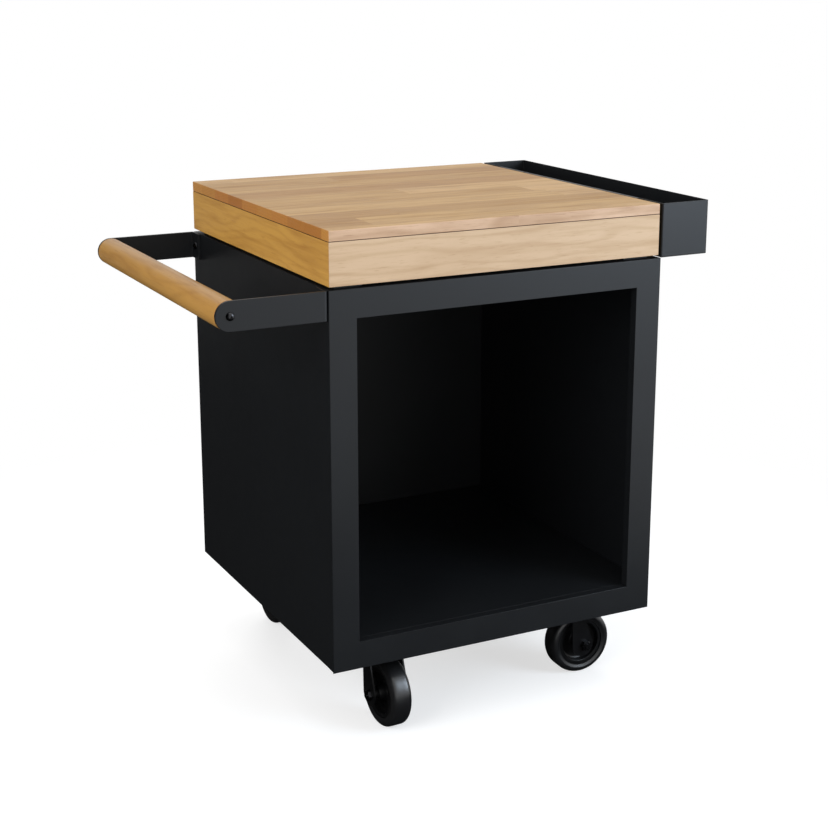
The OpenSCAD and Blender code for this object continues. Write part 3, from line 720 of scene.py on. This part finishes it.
def loft(shape: Shape, rings: Sequence[list]) -> None:
    """Joins rings of points, each to the next, closes both ends and turns the faces outwards.

    Args:
        shape: the mesh that takes the faces.
        rings: the rings from one end to the other, all with the same number of points.
    """
    for lower, upper in zip(rings, rings[1:]):
        for i in range(len(lower)):
            j = (i + 1) % len(lower)
            shape.faces.new((lower[i], lower[j], upper[j], upper[i]))
    shape.faces.new(rings[0][::-1])
    shape.faces.new(rings[-1])
    bmesh.ops.recalc_face_normals(shape, faces=shape.faces)


def arc(centre: tuple[float, float], radius: float, start: float, end: float,
        steps: int) -> Outline:
    """Lists the points of an arc.

    Args:
        centre: its centre.
        radius: its radius.
        start: the first angle in degrees.
        end: the last angle in degrees.
        steps: the number of steps.

    Returns:
        The points, ends included.
    """
    angles = [math.radians(start + (end - start) * i / steps) for i in range(steps + 1)]
    return [(centre[0] + radius * math.cos(a), centre[1] + radius * math.sin(a)) for a in angles]


def mirrored(side: Outline) -> Outline:
    """Closes half a section with its mirror image.

    Args:
        side: the half on one side, in millimetres.

    Returns:
        The whole section, in metres.
    """
    full = side + [(r, -z) for r, z in reversed(side)]
    return [(r * MM, z * MM) for r, z in full]


@dataclass
class Cabinet:
    """The folded steel cabinet with its bay, its rails and the pads under the wooden frame."""

    edge_mm: float = 0.35
    panels: tuple[str, ...] = ("front_frame", "side_panel_left", "side_panel_right", "back_panel",
                               "floor_plate", "top_plate", "castor_rail_left", "castor_rail_right",
                               "tray_bracket")

    def build(self) -> None:
        """Rounds and coats the sheet steel, and finishes what is bolted to it."""
        for name in self.panels:
            softened_node(name, "cabinet", "anthracite_coat", STEEL_COAT, self.edge_mm)
        paint_node("spacer_pads", PAD_RUBBER)
        paint_node("frame_screws", ZINC_STEEL)
        paint_node("bracket_screws", ZINC_STEEL)


@dataclass
class WoodenFrame:
    """The four mitred boards under the work board and the blocks in their corners."""

    edge_mm: float = 1.0
    # the front and back boards take the painted-light copy of the oak, the side boards the
    # painted-shade copy
    pieces: tuple[tuple[str, WoodFinish], ...] = (
        ("rim_front", LIT_FRAME_OAK), ("rim_back", LIT_FRAME_OAK), ("rim_left", SHADED_SIDE_OAK),
        ("rim_right", SHADED_SIDE_OAK), ("corner_blocks", LIT_FRAME_OAK))

    def build(self) -> None:
        """Gives each piece eased edges and grain along its length."""
        for name, finish in self.pieces:
            softened_node(name, "cabinet", "frame_wood", finish, self.edge_mm)


@dataclass
class WorkBoard:
    """The lift-off board of glued staves with its cleats."""

    edge_mm: float = 1.2
    edge_segments: int = 3
    edge_angle_deg: float = 60.0
    seam_chamfer_mm: float = 0.8
    cleat_edge_mm: float = 1.0

    def build(self) -> None:
        """Makes the board with eased top edges and a small chamfer at the seam."""
        low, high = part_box("work_board")
        cut = self.seam_chamfer_mm * MM
        shape = bmesh.new()
        outlines = []
        for z, inset in ((low.z, cut), (low.z + cut, 0.0), (high.z, 0.0)):
            left, right, near, far = low.x + inset, high.x - inset, low.y + inset, high.y - inset
            corners = ((left, near), (right, near), (right, far), (left, far))
            outlines.append([shape.verts.new((x, y, z)) for x, y in corners])
        loft(shape, outlines)
        board = mesh_object("work_board_shown", shape, BOARD_OAK)
        soften(board, self.edge_mm, self.edge_segments, self.edge_angle_deg)
        seat(board, "board", "board_wood", "work_board")
        for name in ("board_cleat_left", "board_cleat_right"):
            softened_node(name, "board", "frame_wood", SHADED_SIDE_OAK, self.cleat_edge_mm)
        paint_node("cleat_screws", ZINC_STEEL)


@dataclass
class PushHandle:
    """Two bent arms, the turned bar between them and their screws."""

    bar_chamfer_mm: float = 1.5
    arm_edge_mm: float = 0.6
    arm_edge_segments: int = 3
    head_radius_mm: float = 7.2
    head_height_mm: float = 4.4
    socket_flats_mm: float = 5.0
    socket_depth_share: float = 0.6
    shank_radius_mm: float = 4.0
    end_shank_mm: float = 30.0

    def build(self) -> None:
        """Builds the bar, coats the arms and sets the screws."""
        low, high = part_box("handle_bar")
        radius, chamfer = (high.x - low.x) / 2, self.bar_chamfer_mm * MM
        centre = (low + high) / 2
        half = (high.y - low.y) / 2
        outline = [(0.0, -half), (radius - chamfer, -half), (radius, -half + chamfer),
                   (radius, half - chamfer), (radius - chamfer, half), (0.0, half)]
        bar = turned("handle_bar_shown", outline, centre, Vector((0, 1, 0)), BAR_OAK)
        seat(bar, "cabinet", "bar_wood", "handle_bar")
        for name in ("handle_arm_front", "handle_arm_rear"):
            softened_node(name, "cabinet", "anthracite_coat", STEEL_COAT, self.arm_edge_mm,
                          self.arm_edge_segments)
        self._end_screws(centre)
        self._flange_bolts()
        paint_node("handle_inserts", INSERT_BRASS)
        paint_node("handle_nuts", ZINC_STEEL)

    def _head(self, shape: Shape, seat_at: Vector, out: Vector, shank: float) -> None:
        """Adds one button-head screw with a hexagon socket.

        Args:
            shape: the mesh that takes it.
            seat_at: the middle of the head's seat.
            out: the way the head faces.
            shank: the length of its shank.
        """
        place = Matrix.Translation(seat_at) @ out.to_track_quat("Z", "Y").to_matrix().to_4x4()
        radius, height = self.head_radius_mm * MM, self.head_height_mm * MM
        shank_radius = self.shank_radius_mm * MM
        # the dome ends at 1.2 radians, where the socket opens
        dome = [(radius * math.cos(a), height * math.sin(a)) for a in (0.25, 0.5, 0.75, 1.0, 1.2)]
        outline = [(shank_radius, -shank), (shank_radius, 0.0), (radius, 0.0)] + dome
        turns = [math.tau * i / HEAD_STEPS for i in range(HEAD_STEPS)]
        levels = [([r] * HEAD_STEPS, z) for r, z in outline]
        # a point of the socket's wall stands at half the width over flats, divided by the cosine
        # of its turn from the middle of the flat
        sixth, top = math.pi / 6, outline[-1][1]
        half_flats = self.socket_flats_mm * MM / 2
        hexagon = [half_flats / math.cos((a + sixth) % (2 * sixth) - sixth) for a in turns]
        levels += [(hexagon, top), (hexagon, top - height * self.socket_depth_share)]
        loft(shape, [[shape.verts.new(place @ Vector((r * math.cos(a), r * math.sin(a), z)))
                      for r, a in zip(radii, turns)] for radii, z in levels])

    def _screws(self, node: str, spots: Sequence[tuple[Point, Point]], shank: float) -> None:
        """Sets the button-head screws that stand for a CAD node.

        Args:
            node: the CAD node.
            spots: the middle of each head's seat and the way that the head faces.
            shank: the length of the shanks.
        """
        shape = bmesh.new()
        for seat_at, out in spots:
            self._head(shape, Vector(seat_at), Vector(out), shank)
        seat(mesh_object(f"{node}_shown", shape, BLACK_STEEL), "cabinet", "black_steel", node)

    def _end_screws(self, bar_centre: Vector) -> None:
        """Sets the two screws in the ends of the bar.

        Args:
            bar_centre: the middle of the bar.
        """
        low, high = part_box("handle_end_screws")
        height = self.head_height_mm * MM
        spots = [((bar_centre.x, y, bar_centre.z), (0, side, 0))
                 for side, y in ((-1, low.y + height), (1, high.y - height))]
        self._screws("handle_end_screws", spots, self.end_shank_mm * MM)

    def _flange_bolts(self) -> None:
        """Sets the two bolts through the arms' flanges."""
        low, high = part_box("handle_bolts")
        height, radius = self.head_height_mm * MM, self.head_radius_mm * MM
        spots = [((low.x + height, y, (low.z + high.z) / 2), (-1, 0, 0))
                 for y in (low.y + radius, high.y - radius)]
        self._screws("handle_bolts", spots, high.x - low.x - height)


@dataclass
class PlanterTray:
    """The folded steel tray that hooks on at the right."""

    edge_mm: float = 0.3

    def build(self) -> None:
        """Rounds and coats the tray."""
        softened_node("planter_tray", "tray", "anthracite_coat", STEEL_COAT, self.edge_mm)


@dataclass
class Castor:
    """One swivel castor: fork, wheel and axle, with its bearing."""

    corner: Corner
    wheel_radius_mm: float = 62.5
    tread_half_mm: float = 20.0
    shoulder_mm: float = 10.0
    rim_radius_mm: float = 45.5
    rim_width_mm: float = 7.0
    rim_sunk_mm: float = 1.5
    wall_half_mm: float = 18.0
    bevel_inner_mm: float = 47.5
    bevel_outer_mm: float = 52.0
    neck_half_mm: float = 30.0
    neck_radius_mm: float = 10.5
    boss_half_mm: float = 22.0
    boss_radius_mm: float = 14.0
    bore_mm: float = 8.05
    web_half_mm: float = 4.5
    crown_half_mm: float = 5.0
    rim_play_mm: float = 0.05
    ease_mm: float = 1.0
    chamfer_mm: float = 0.6
    fork_edge_mm: float = 0.5
    metal_edge_mm: float = 0.4
    balls: int = 16
    ball_ring_mm: float = 25.5
    ball_radius_mm: float = 3.0

    def _node(self, piece: str) -> str:
        """Names one of this castor's CAD nodes."""
        return f"castor_{self.corner.value}_{piece}"

    def build(self) -> None:
        """Builds the wheel and finishes the fork, axle, plate and bearing."""
        joint = next(j for j in frame["joints"] if j["name"] == f"wheel_spin_{self.corner.value}")
        centre, axle = Vector(joint["pos_m"]), Vector(joint["axis"])
        fork_body, wheel_body = f"fork_{self.corner.value}", f"wheel_{self.corner.value}"
        tyre = turned(f"{self._node('tyre')}_shown", self._tyre_outline(), centre, axle,
                      TYRE_RUBBER)
        seat(tyre, wheel_body, "tyre_rubber", self._node("tyre"))
        hub = turned(f"{self._node('hub')}_shown", self._hub_outline(), centre, axle, HUB_NYLON)
        seat(hub, wheel_body, "hub_plastic", self._node("hub"))
        softened_node(self._node("fork"), fork_body, "castor_coat", CASTOR_COAT, self.fork_edge_mm)
        softened_node(self._node("axle"), fork_body, "black_steel", BLACK_STEEL,
                      self.metal_edge_mm)
        softened_node(self._node("plate"), "cabinet", "zinc_steel", ZINC_STEEL, self.metal_edge_mm)
        paint_node(self._node("sleeve"), ZINC_STEEL)
        self._bearing(fork_body)

    def _tyre_outline(self) -> Outline:
        """Draws the tyre's section: crowned tread, round shoulders and bevelled side walls.

        Returns:
            The section's points.
        """
        wall, tread, shoulder = self.wall_half_mm, self.tread_half_mm, self.shoulder_mm
        side = [(self.rim_radius_mm, wall)]
        # both corners of the bevel are eased
        side += [(self.bevel_inner_mm - 0.5, wall), (self.bevel_inner_mm, wall + 0.2)]
        side += [(self.bevel_outer_mm - 0.6, tread - 0.25), (self.bevel_outer_mm, tread)]
        side += arc((self.wheel_radius_mm - shoulder, tread - shoulder), shoulder, 90.0, 4.0, 8)
        side += [(self.wheel_radius_mm, self.crown_half_mm)]
        return mirrored(side)

    def _hub_outline(self) -> Outline:
        """Draws the hub's section: necks and a thick boss, a dished web and the rim in the tyre.

        Returns:
            The section's points.
        """
        ease, chamfer = self.ease_mm, self.chamfer_mm
        neck, boss, rim = self.neck_radius_mm, self.boss_radius_mm, self.rim_radius_mm
        inner, wall = rim - self.rim_width_mm, self.wall_half_mm - self.rim_sunk_mm
        rim -= self.rim_play_mm
        side = [(self.bore_mm, self.neck_half_mm - chamfer),
                (self.bore_mm + chamfer, self.neck_half_mm)]
        side += arc((neck - ease, self.neck_half_mm - ease), ease, 90.0, 0.0, 4)
        side += [(neck, self.boss_half_mm)]
        side += arc((boss - ease, self.boss_half_mm - ease), ease, 90.0, 0.0, 4)
        # the boss tapers and flares into the web
        side += [(boss + 0.8, 16.0), (boss + 1.6, 11.5)]
        side += arc((boss + 7.5, 10.5), 5.8, 190.0, 262.0, 6)
        side += [(inner - 8.0, self.web_half_mm + 0.1)]
        # the web turns up into the rim, and the rim's edges are eased
        side += arc((inner - 5.0, self.web_half_mm + 5.1), 5.0, 272.0, 350.0, 6)
        side += [(inner, wall - ease)]
        side += arc((inner + ease, wall - ease), ease, 180.0, 90.0, 4)[1:]
        side += [(rim - ease, wall), (rim, wall - ease)]
        return mirrored(side)

    def _bearing(self, body: str) -> None:
        """Sets the ring of balls with a small node tree.

        Args:
            body: the body that the balls ride on.
        """
        low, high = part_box(self._node("balls"))
        pattern = Pattern("ball_ring", {"Count": self.balls, "Ring radius": self.ball_ring_mm * MM,
                                        "Ball radius": self.ball_radius_mm * MM})
        tree, given = pattern.tree()
        circle = add(tree, "GeometryNodeMeshCircle",
                     {"Vertices": given["Count"], "Radius": given["Ring radius"]})
        ball = add(tree, "GeometryNodeMeshIcoSphere",
                   {"Radius": given["Ball radius"], "Subdivisions": 2})
        smooth = add(tree, "GeometryNodeSetShadeSmooth", {0: ball.outputs["Mesh"]})
        spread = add(tree, "GeometryNodeInstanceOnPoints",
                     {"Points": circle.outputs[0], "Instance": smooth.outputs[0]})
        piece = pattern.run(tree, spread.outputs[0], self._node("balls"), (low + high) / 2)
        seat(piece, body, "zinc_steel", self._node("balls"))


@dataclass
class Pattern:
    """A small Geometry Nodes tree with named inputs that repeats one shape, and its mesh."""

    name: str
    values: dict[str, float | int]
    finish: PlainFinish = ZINC_STEEL

    def tree(self) -> tuple[Tree, Any]:
        """Starts the tree with its geometry output and its named inputs.

        Returns:
            The tree and the inputs' sockets.
        """
        tree = bpy.data.node_groups.new(self.name, "GeometryNodeTree")
        tree.interface.new_socket("Geometry", in_out="OUTPUT", socket_type="NodeSocketGeometry")
        for name, value in self.values.items():
            kind = "NodeSocketInt" if isinstance(value, int) else "NodeSocketFloat"
            tree.interface.new_socket(name, in_out="INPUT", socket_type=kind)
        return tree, tree.nodes.new("NodeGroupInput").outputs

    def run(self, tree: Tree, geometry: Socket, node: str, centre: Vector) -> Object:
        """Finishes the tree, runs it once and keeps its mesh.

        Args:
            tree: the tree.
            geometry: its last geometry.
            node: the CAD node that the result stands for.
            centre: where the pattern goes.

        Returns:
            The object with the pattern's mesh.
        """
        real = add(tree, "GeometryNodeRealizeInstances", {0: geometry})
        dressed = add(tree, "GeometryNodeSetMaterial",
                      {"Geometry": real.outputs[0], "Material": self.finish.material()})
        add(tree, "NodeGroupOutput", {0: dressed.outputs[0]})
        piece = linked(f"{node}_shown", bpy.data.meshes.new(f"{node}_shown"))
        modifier = piece.modifiers.new(self.name, "NODES")
        modifier.node_group = tree
        for item in tree.interface.items_tree:
            if item.item_type == "SOCKET" and item.in_out == "INPUT":
                modifier[item.identifier] = self.values[item.name]
        bake_modifiers(piece)
        piece.data.transform(Matrix.Translation(centre))
        piece.data.set_sharp_from_angle(angle=math.radians(SMOOTH_DEG))
        return piece


@dataclass(frozen=True)
class Cone:
    """An upright cone or cylinder: its number of sides, its radii and heights in millimetres."""

    sides: int
    bottom: float
    top: float
    low: float
    high: float

    def geometry(self, tree: Tree) -> Node:
        """Adds it to a tree.

        Args:
            tree: the tree that takes it.

        Returns:
            A node with its geometry.
        """
        cone = add(tree, "GeometryNodeMeshCone",
                   {"Vertices": self.sides, "Radius Top": self.top * MM,
                    "Radius Bottom": self.bottom * MM, "Depth": (self.high - self.low) * MM})
        return add(tree, "GeometryNodeTransform",
                   {0: cone, "Translation": (0.0, 0.0, self.low * MM)})


@dataclass
class CastorFixings:
    """The hexagon bolts and nuts that hold the four castors, four to a plate."""

    bay_x_mm: float = 386.0
    bay_y_mm: float = 436.0
    hole_x_mm: float = 60.0
    hole_y_mm: float = 80.0
    flats_mm: float = 13.0
    shank_mm: float = 4.0
    head_mm: float = 5.3
    washer_face_mm: float = 0.5
    nut_mm: float = 6.5
    taper_mm: float = 0.9
    head_taper: float = 0.93
    nut_taper: float = 0.92

    def _spread(self, node: str, cones: Sequence[Cone]) -> None:
        """Repeats one fixing over the four plates.

        Args:
            node: the CAD node that the piece stands for.
            cones: the fixing's solids.
        """
        sizes = {"Bay width": self.bay_x_mm, "Bay depth": self.bay_y_mm,
                 "Hole width": self.hole_x_mm, "Hole depth": self.hole_y_mm}
        pattern = Pattern(node, {label: size * MM for label, size in sizes.items()})
        tree, given = pattern.tree()
        bays, holes = [
            add(tree, "GeometryNodeMeshGrid",
                {"Size X": given[f"{kind} width"], "Size Y": given[f"{kind} depth"],
                 "Vertices X": 2, "Vertices Y": 2}).outputs[0]
            for kind in ("Bay", "Hole")]
        plates = add(tree, "GeometryNodeInstanceOnPoints", {"Points": bays, "Instance": holes})
        places = add(tree, "GeometryNodeRealizeInstances", {0: plates.outputs[0]})
        joined = add(tree, "GeometryNodeJoinGeometry")
        for cone in cones:
            tree.links.new(cone.geometry(tree).outputs[0], joined.inputs[0])
        spread = add(tree, "GeometryNodeInstanceOnPoints",
                     {"Points": places.outputs[0], "Instance": joined.outputs[0]})
        low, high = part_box(node)
        centre = Vector(((low.x + high.x) / 2, (low.y + high.y) / 2, low.z))
        piece = pattern.run(tree, spread.outputs[0], node, centre)
        seat(piece, "cabinet", "zinc_steel", node)

    def build(self) -> None:
        """Sets the bolts from below and the nuts inside the rails."""
        corner, flat = self.flats_mm / math.sqrt(3), self.flats_mm / 2
        head, taper, shank = self.head_mm, self.taper_mm, self.shank_mm
        face, low_nut = head - self.washer_face_mm, self.nut_mm - taper
        low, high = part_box("castor_bolts")
        length = (high.z - low.z) / MM - head
        # head, its tapered end, its pressed washer face and the shank
        self._spread("castor_bolts", (
            Cone(6, corner, corner, taper, face),
            Cone(6, corner * self.head_taper, corner, 0.0, taper),
            Cone(24, flat, flat, face, head), Cone(20, shank, shank, head, head + length)))
        # the nut and its tapered top
        self._spread("castor_nuts", (
            Cone(6, corner, corner, 0.0, low_nut),
            Cone(6, corner, corner * self.nut_taper, low_nut, self.nut_mm)))


@dataclass(frozen=True)
class Lamp:
    """One soft square lamp: its place, aim and side in metres and its power in watts."""

    name: str
    place: Point
    aim: Point
    side: float
    power: float
    colour: str = "ffffff"
    shines: bool = True

    def hang(self) -> None:
        """Adds the lamp, turned to its aim; it shows in reflections only if it shines."""
        data = bpy.data.lights.new(self.name, "AREA")
        data.size = self.side
        data.energy = self.power
        data.color = linear(self.colour)[:3]
        lamp = linked(self.name, data)
        lamp.location = self.place
        lamp.visible_glossy = self.shines
        way = Vector(self.aim) - Vector(self.place)
        lamp.rotation_euler = way.to_track_quat("-Z", "Y").to_euler()


def grey(level: float) -> tuple[float, float, float, float]:
    """Returns a neutral colour of a level in linear light."""
    return level, level, level, 1.0


@dataclass
class Studio:
    """Camera at the photograph's angle, a pale floor, a dark card and soft light, in metres."""

    eye: Point = (-1.305, -2.655, 1.345)
    heading_deg: float = 26.89
    tilt_deg: float = 14.27
    focal_px: float = 1609.0
    shift: float = -0.06
    clip: tuple[float, float] = (0.05, 60.0)
    world_strength: float = 0.6
    floor_side: float = 14.0
    floor_grey: float = 0.5
    floor_glow: float = 0.6
    floor_bounce: float = 0.42
    floor_fade: tuple[float, float] = (0.7, 1.6)
    card_x: tuple[float, float] = (-0.9, 0.85)
    card_y: tuple[float, float] = (-1.5, 3.4)
    card_z: tuple[float, float] = (0.002, 2.2)
    card_grey: float = 0.02
    lamps: tuple[Lamp, ...] = (
        Lamp("key", (1.5, -1.9, 1.3), (0.2, -0.3, 0.8), 1.1, 36.0, "dcedff"),
        Lamp("fill", (-2.6, -1.2, 1.6), (0.0, 0.0, 0.7), 1.8, 58.0, shines=False),
        Lamp("top", (0.1, -0.4, 3.2), (0.0, 0.0, 0.9), 2.4, 10.0),
        Lamp("back", (0.9, 2.9, 1.5), (0.0, 0.3, 0.6), 1.8, 45.0, shines=False))

    def build(self) -> None:
        """Sets up everything round the table."""
        self._camera()
        self._world()
        self._floor()
        self._card()
        for lamp in self.lamps:
            lamp.hang()

    def _camera(self) -> None:
        """Points the camera the way the photograph looks at the table."""
        data = bpy.data.cameras.new("camera")
        data.sensor_width = SENSOR_MM
        data.lens = self.focal_px / IMAGE_SIDE * SENSOR_MM
        data.shift_y = self.shift
        data.clip_start, data.clip_end = self.clip
        camera = linked("camera", data)
        camera.location = self.eye
        camera.rotation_euler = (math.radians(90.0 - self.tilt_deg), 0.0,
                                 math.radians(-self.heading_deg))
        bpy.context.scene.camera = camera

    def _world(self) -> None:
        """Lights the table evenly and shows white to the camera and in reflections."""
        world = bpy.data.worlds.new("studio_white")
        world.use_nodes = True
        tree = world.node_tree
        tree.nodes.clear()
        strength = add(tree, "ShaderNodeMapRange",
                       {"Value": seen_directly(tree), "To Min": self.world_strength, "To Max": 1.0})
        glow = add(tree, "ShaderNodeBackground", {"Color": WHITE, "Strength": strength})
        add(tree, "ShaderNodeOutputWorld", {0: glow.outputs[0]})
        bpy.context.scene.world = world

    def _sheet(self, name: str, points: Sequence[Point], faces: Sequence[tuple[int, ...]],
               material: Material) -> Object:
        """Makes a piece of the studio from flat faces.

        Args:
            name: its name.
            points: its corners.
            faces: the numbers of the corners of each face.
            material: its material.

        Returns:
            The object, linked to the scene.
        """
        mesh = bpy.data.meshes.new(name)
        mesh.from_pydata(points, [], faces)
        mesh.materials.append(material)
        return linked(name, mesh)

    def _card(self) -> None:
        """Sets a dark card under and left of the table that only reflections see."""
        material, tree = empty_material("black_card")
        dark = add(tree, "ShaderNodeBsdfDiffuse", {"Color": grey(self.card_grey)})
        add(tree, "ShaderNodeOutputMaterial", {0: dark.outputs[0]})
        (left, right), (near, far), (low, top) = self.card_x, self.card_y, self.card_z
        points = [(right, near, low), (right, far, low), (left, far, low), (left, near, low),
                  (left, far, top), (left, near, top)]
        card = self._sheet("left_card", points, [(0, 1, 2, 3), (3, 2, 4, 5)], material)
        card.visible_camera = card.visible_diffuse = card.visible_shadow = False
        card.visible_transmission = card.visible_volume_scatter = False

    def _floor(self) -> None:
        """Lays a floor that keeps the table's shadow and is white further out."""
        material, tree = empty_material("pale_floor")
        matt = add(tree, "ShaderNodeBsdfDiffuse", {"Color": grey(self.floor_grey)})
        glow = add(tree, "ShaderNodeEmission", {"Color": WHITE, "Strength": self.floor_glow})
        lit = add(tree, "ShaderNodeAddShader", {0: matt.outputs[0], 1: glow.outputs[0]})
        place = add(tree, "ShaderNodeTexCoord").outputs["Object"]
        reach = add(tree, "ShaderNodeVectorMath", {0: place}, operation="LENGTH").outputs["Value"]
        fade = add(tree, "ShaderNodeMapRange",
                   {"Value": reach, "From Min": self.floor_fade[0], "From Max": self.floor_fade[1]},
                   interpolation_type="SMOOTHSTEP")
        white = add(tree, "ShaderNodeEmission", {"Color": WHITE, "Strength": 1.0})
        shown = add(tree, "ShaderNodeMixShader", {0: fade, 1: lit.outputs[0], 2: white.outputs[0]})
        plain = add(tree, "ShaderNodeBsdfDiffuse", {"Color": grey(self.floor_bounce)})
        mix = add(tree, "ShaderNodeMixShader",
                  {0: seen_directly(tree), 1: plain.outputs[0], 2: shown.outputs[0]})
        add(tree, "ShaderNodeOutputMaterial", {0: mix.outputs[0]})
        half = self.floor_side / 2
        points = [(-half, -half, 0), (half, -half, 0), (half, half, 0), (-half, half, 0)]
        floor = self._sheet("floor", points, [(0, 1, 2, 3)], material)


def sub_assemblies() -> Iterable[Any]:
    """Makes every sub-assembly in the order that it is built.

    Yields:
        The sub-assemblies, each with a build method.
    """
    yield from (Cabinet(), WoodenFrame(), WorkBoard(), PushHandle(), PlanterTray())
    yield from map(Castor, Corner)
    yield from (CastorFixings(), Studio())


def main() -> None:
    """Builds the sub-assemblies."""
    logging.basicConfig(level=logging.INFO, format="%(name)s: %(message)s")
    bpy.context.scene.view_settings.view_transform = "Standard"
    for part in sub_assemblies():
        log.info("building %s", type(part).__name__)
        part.build()
    bpy.context.view_layer.update()


if __name__ == "__main__":
    main()
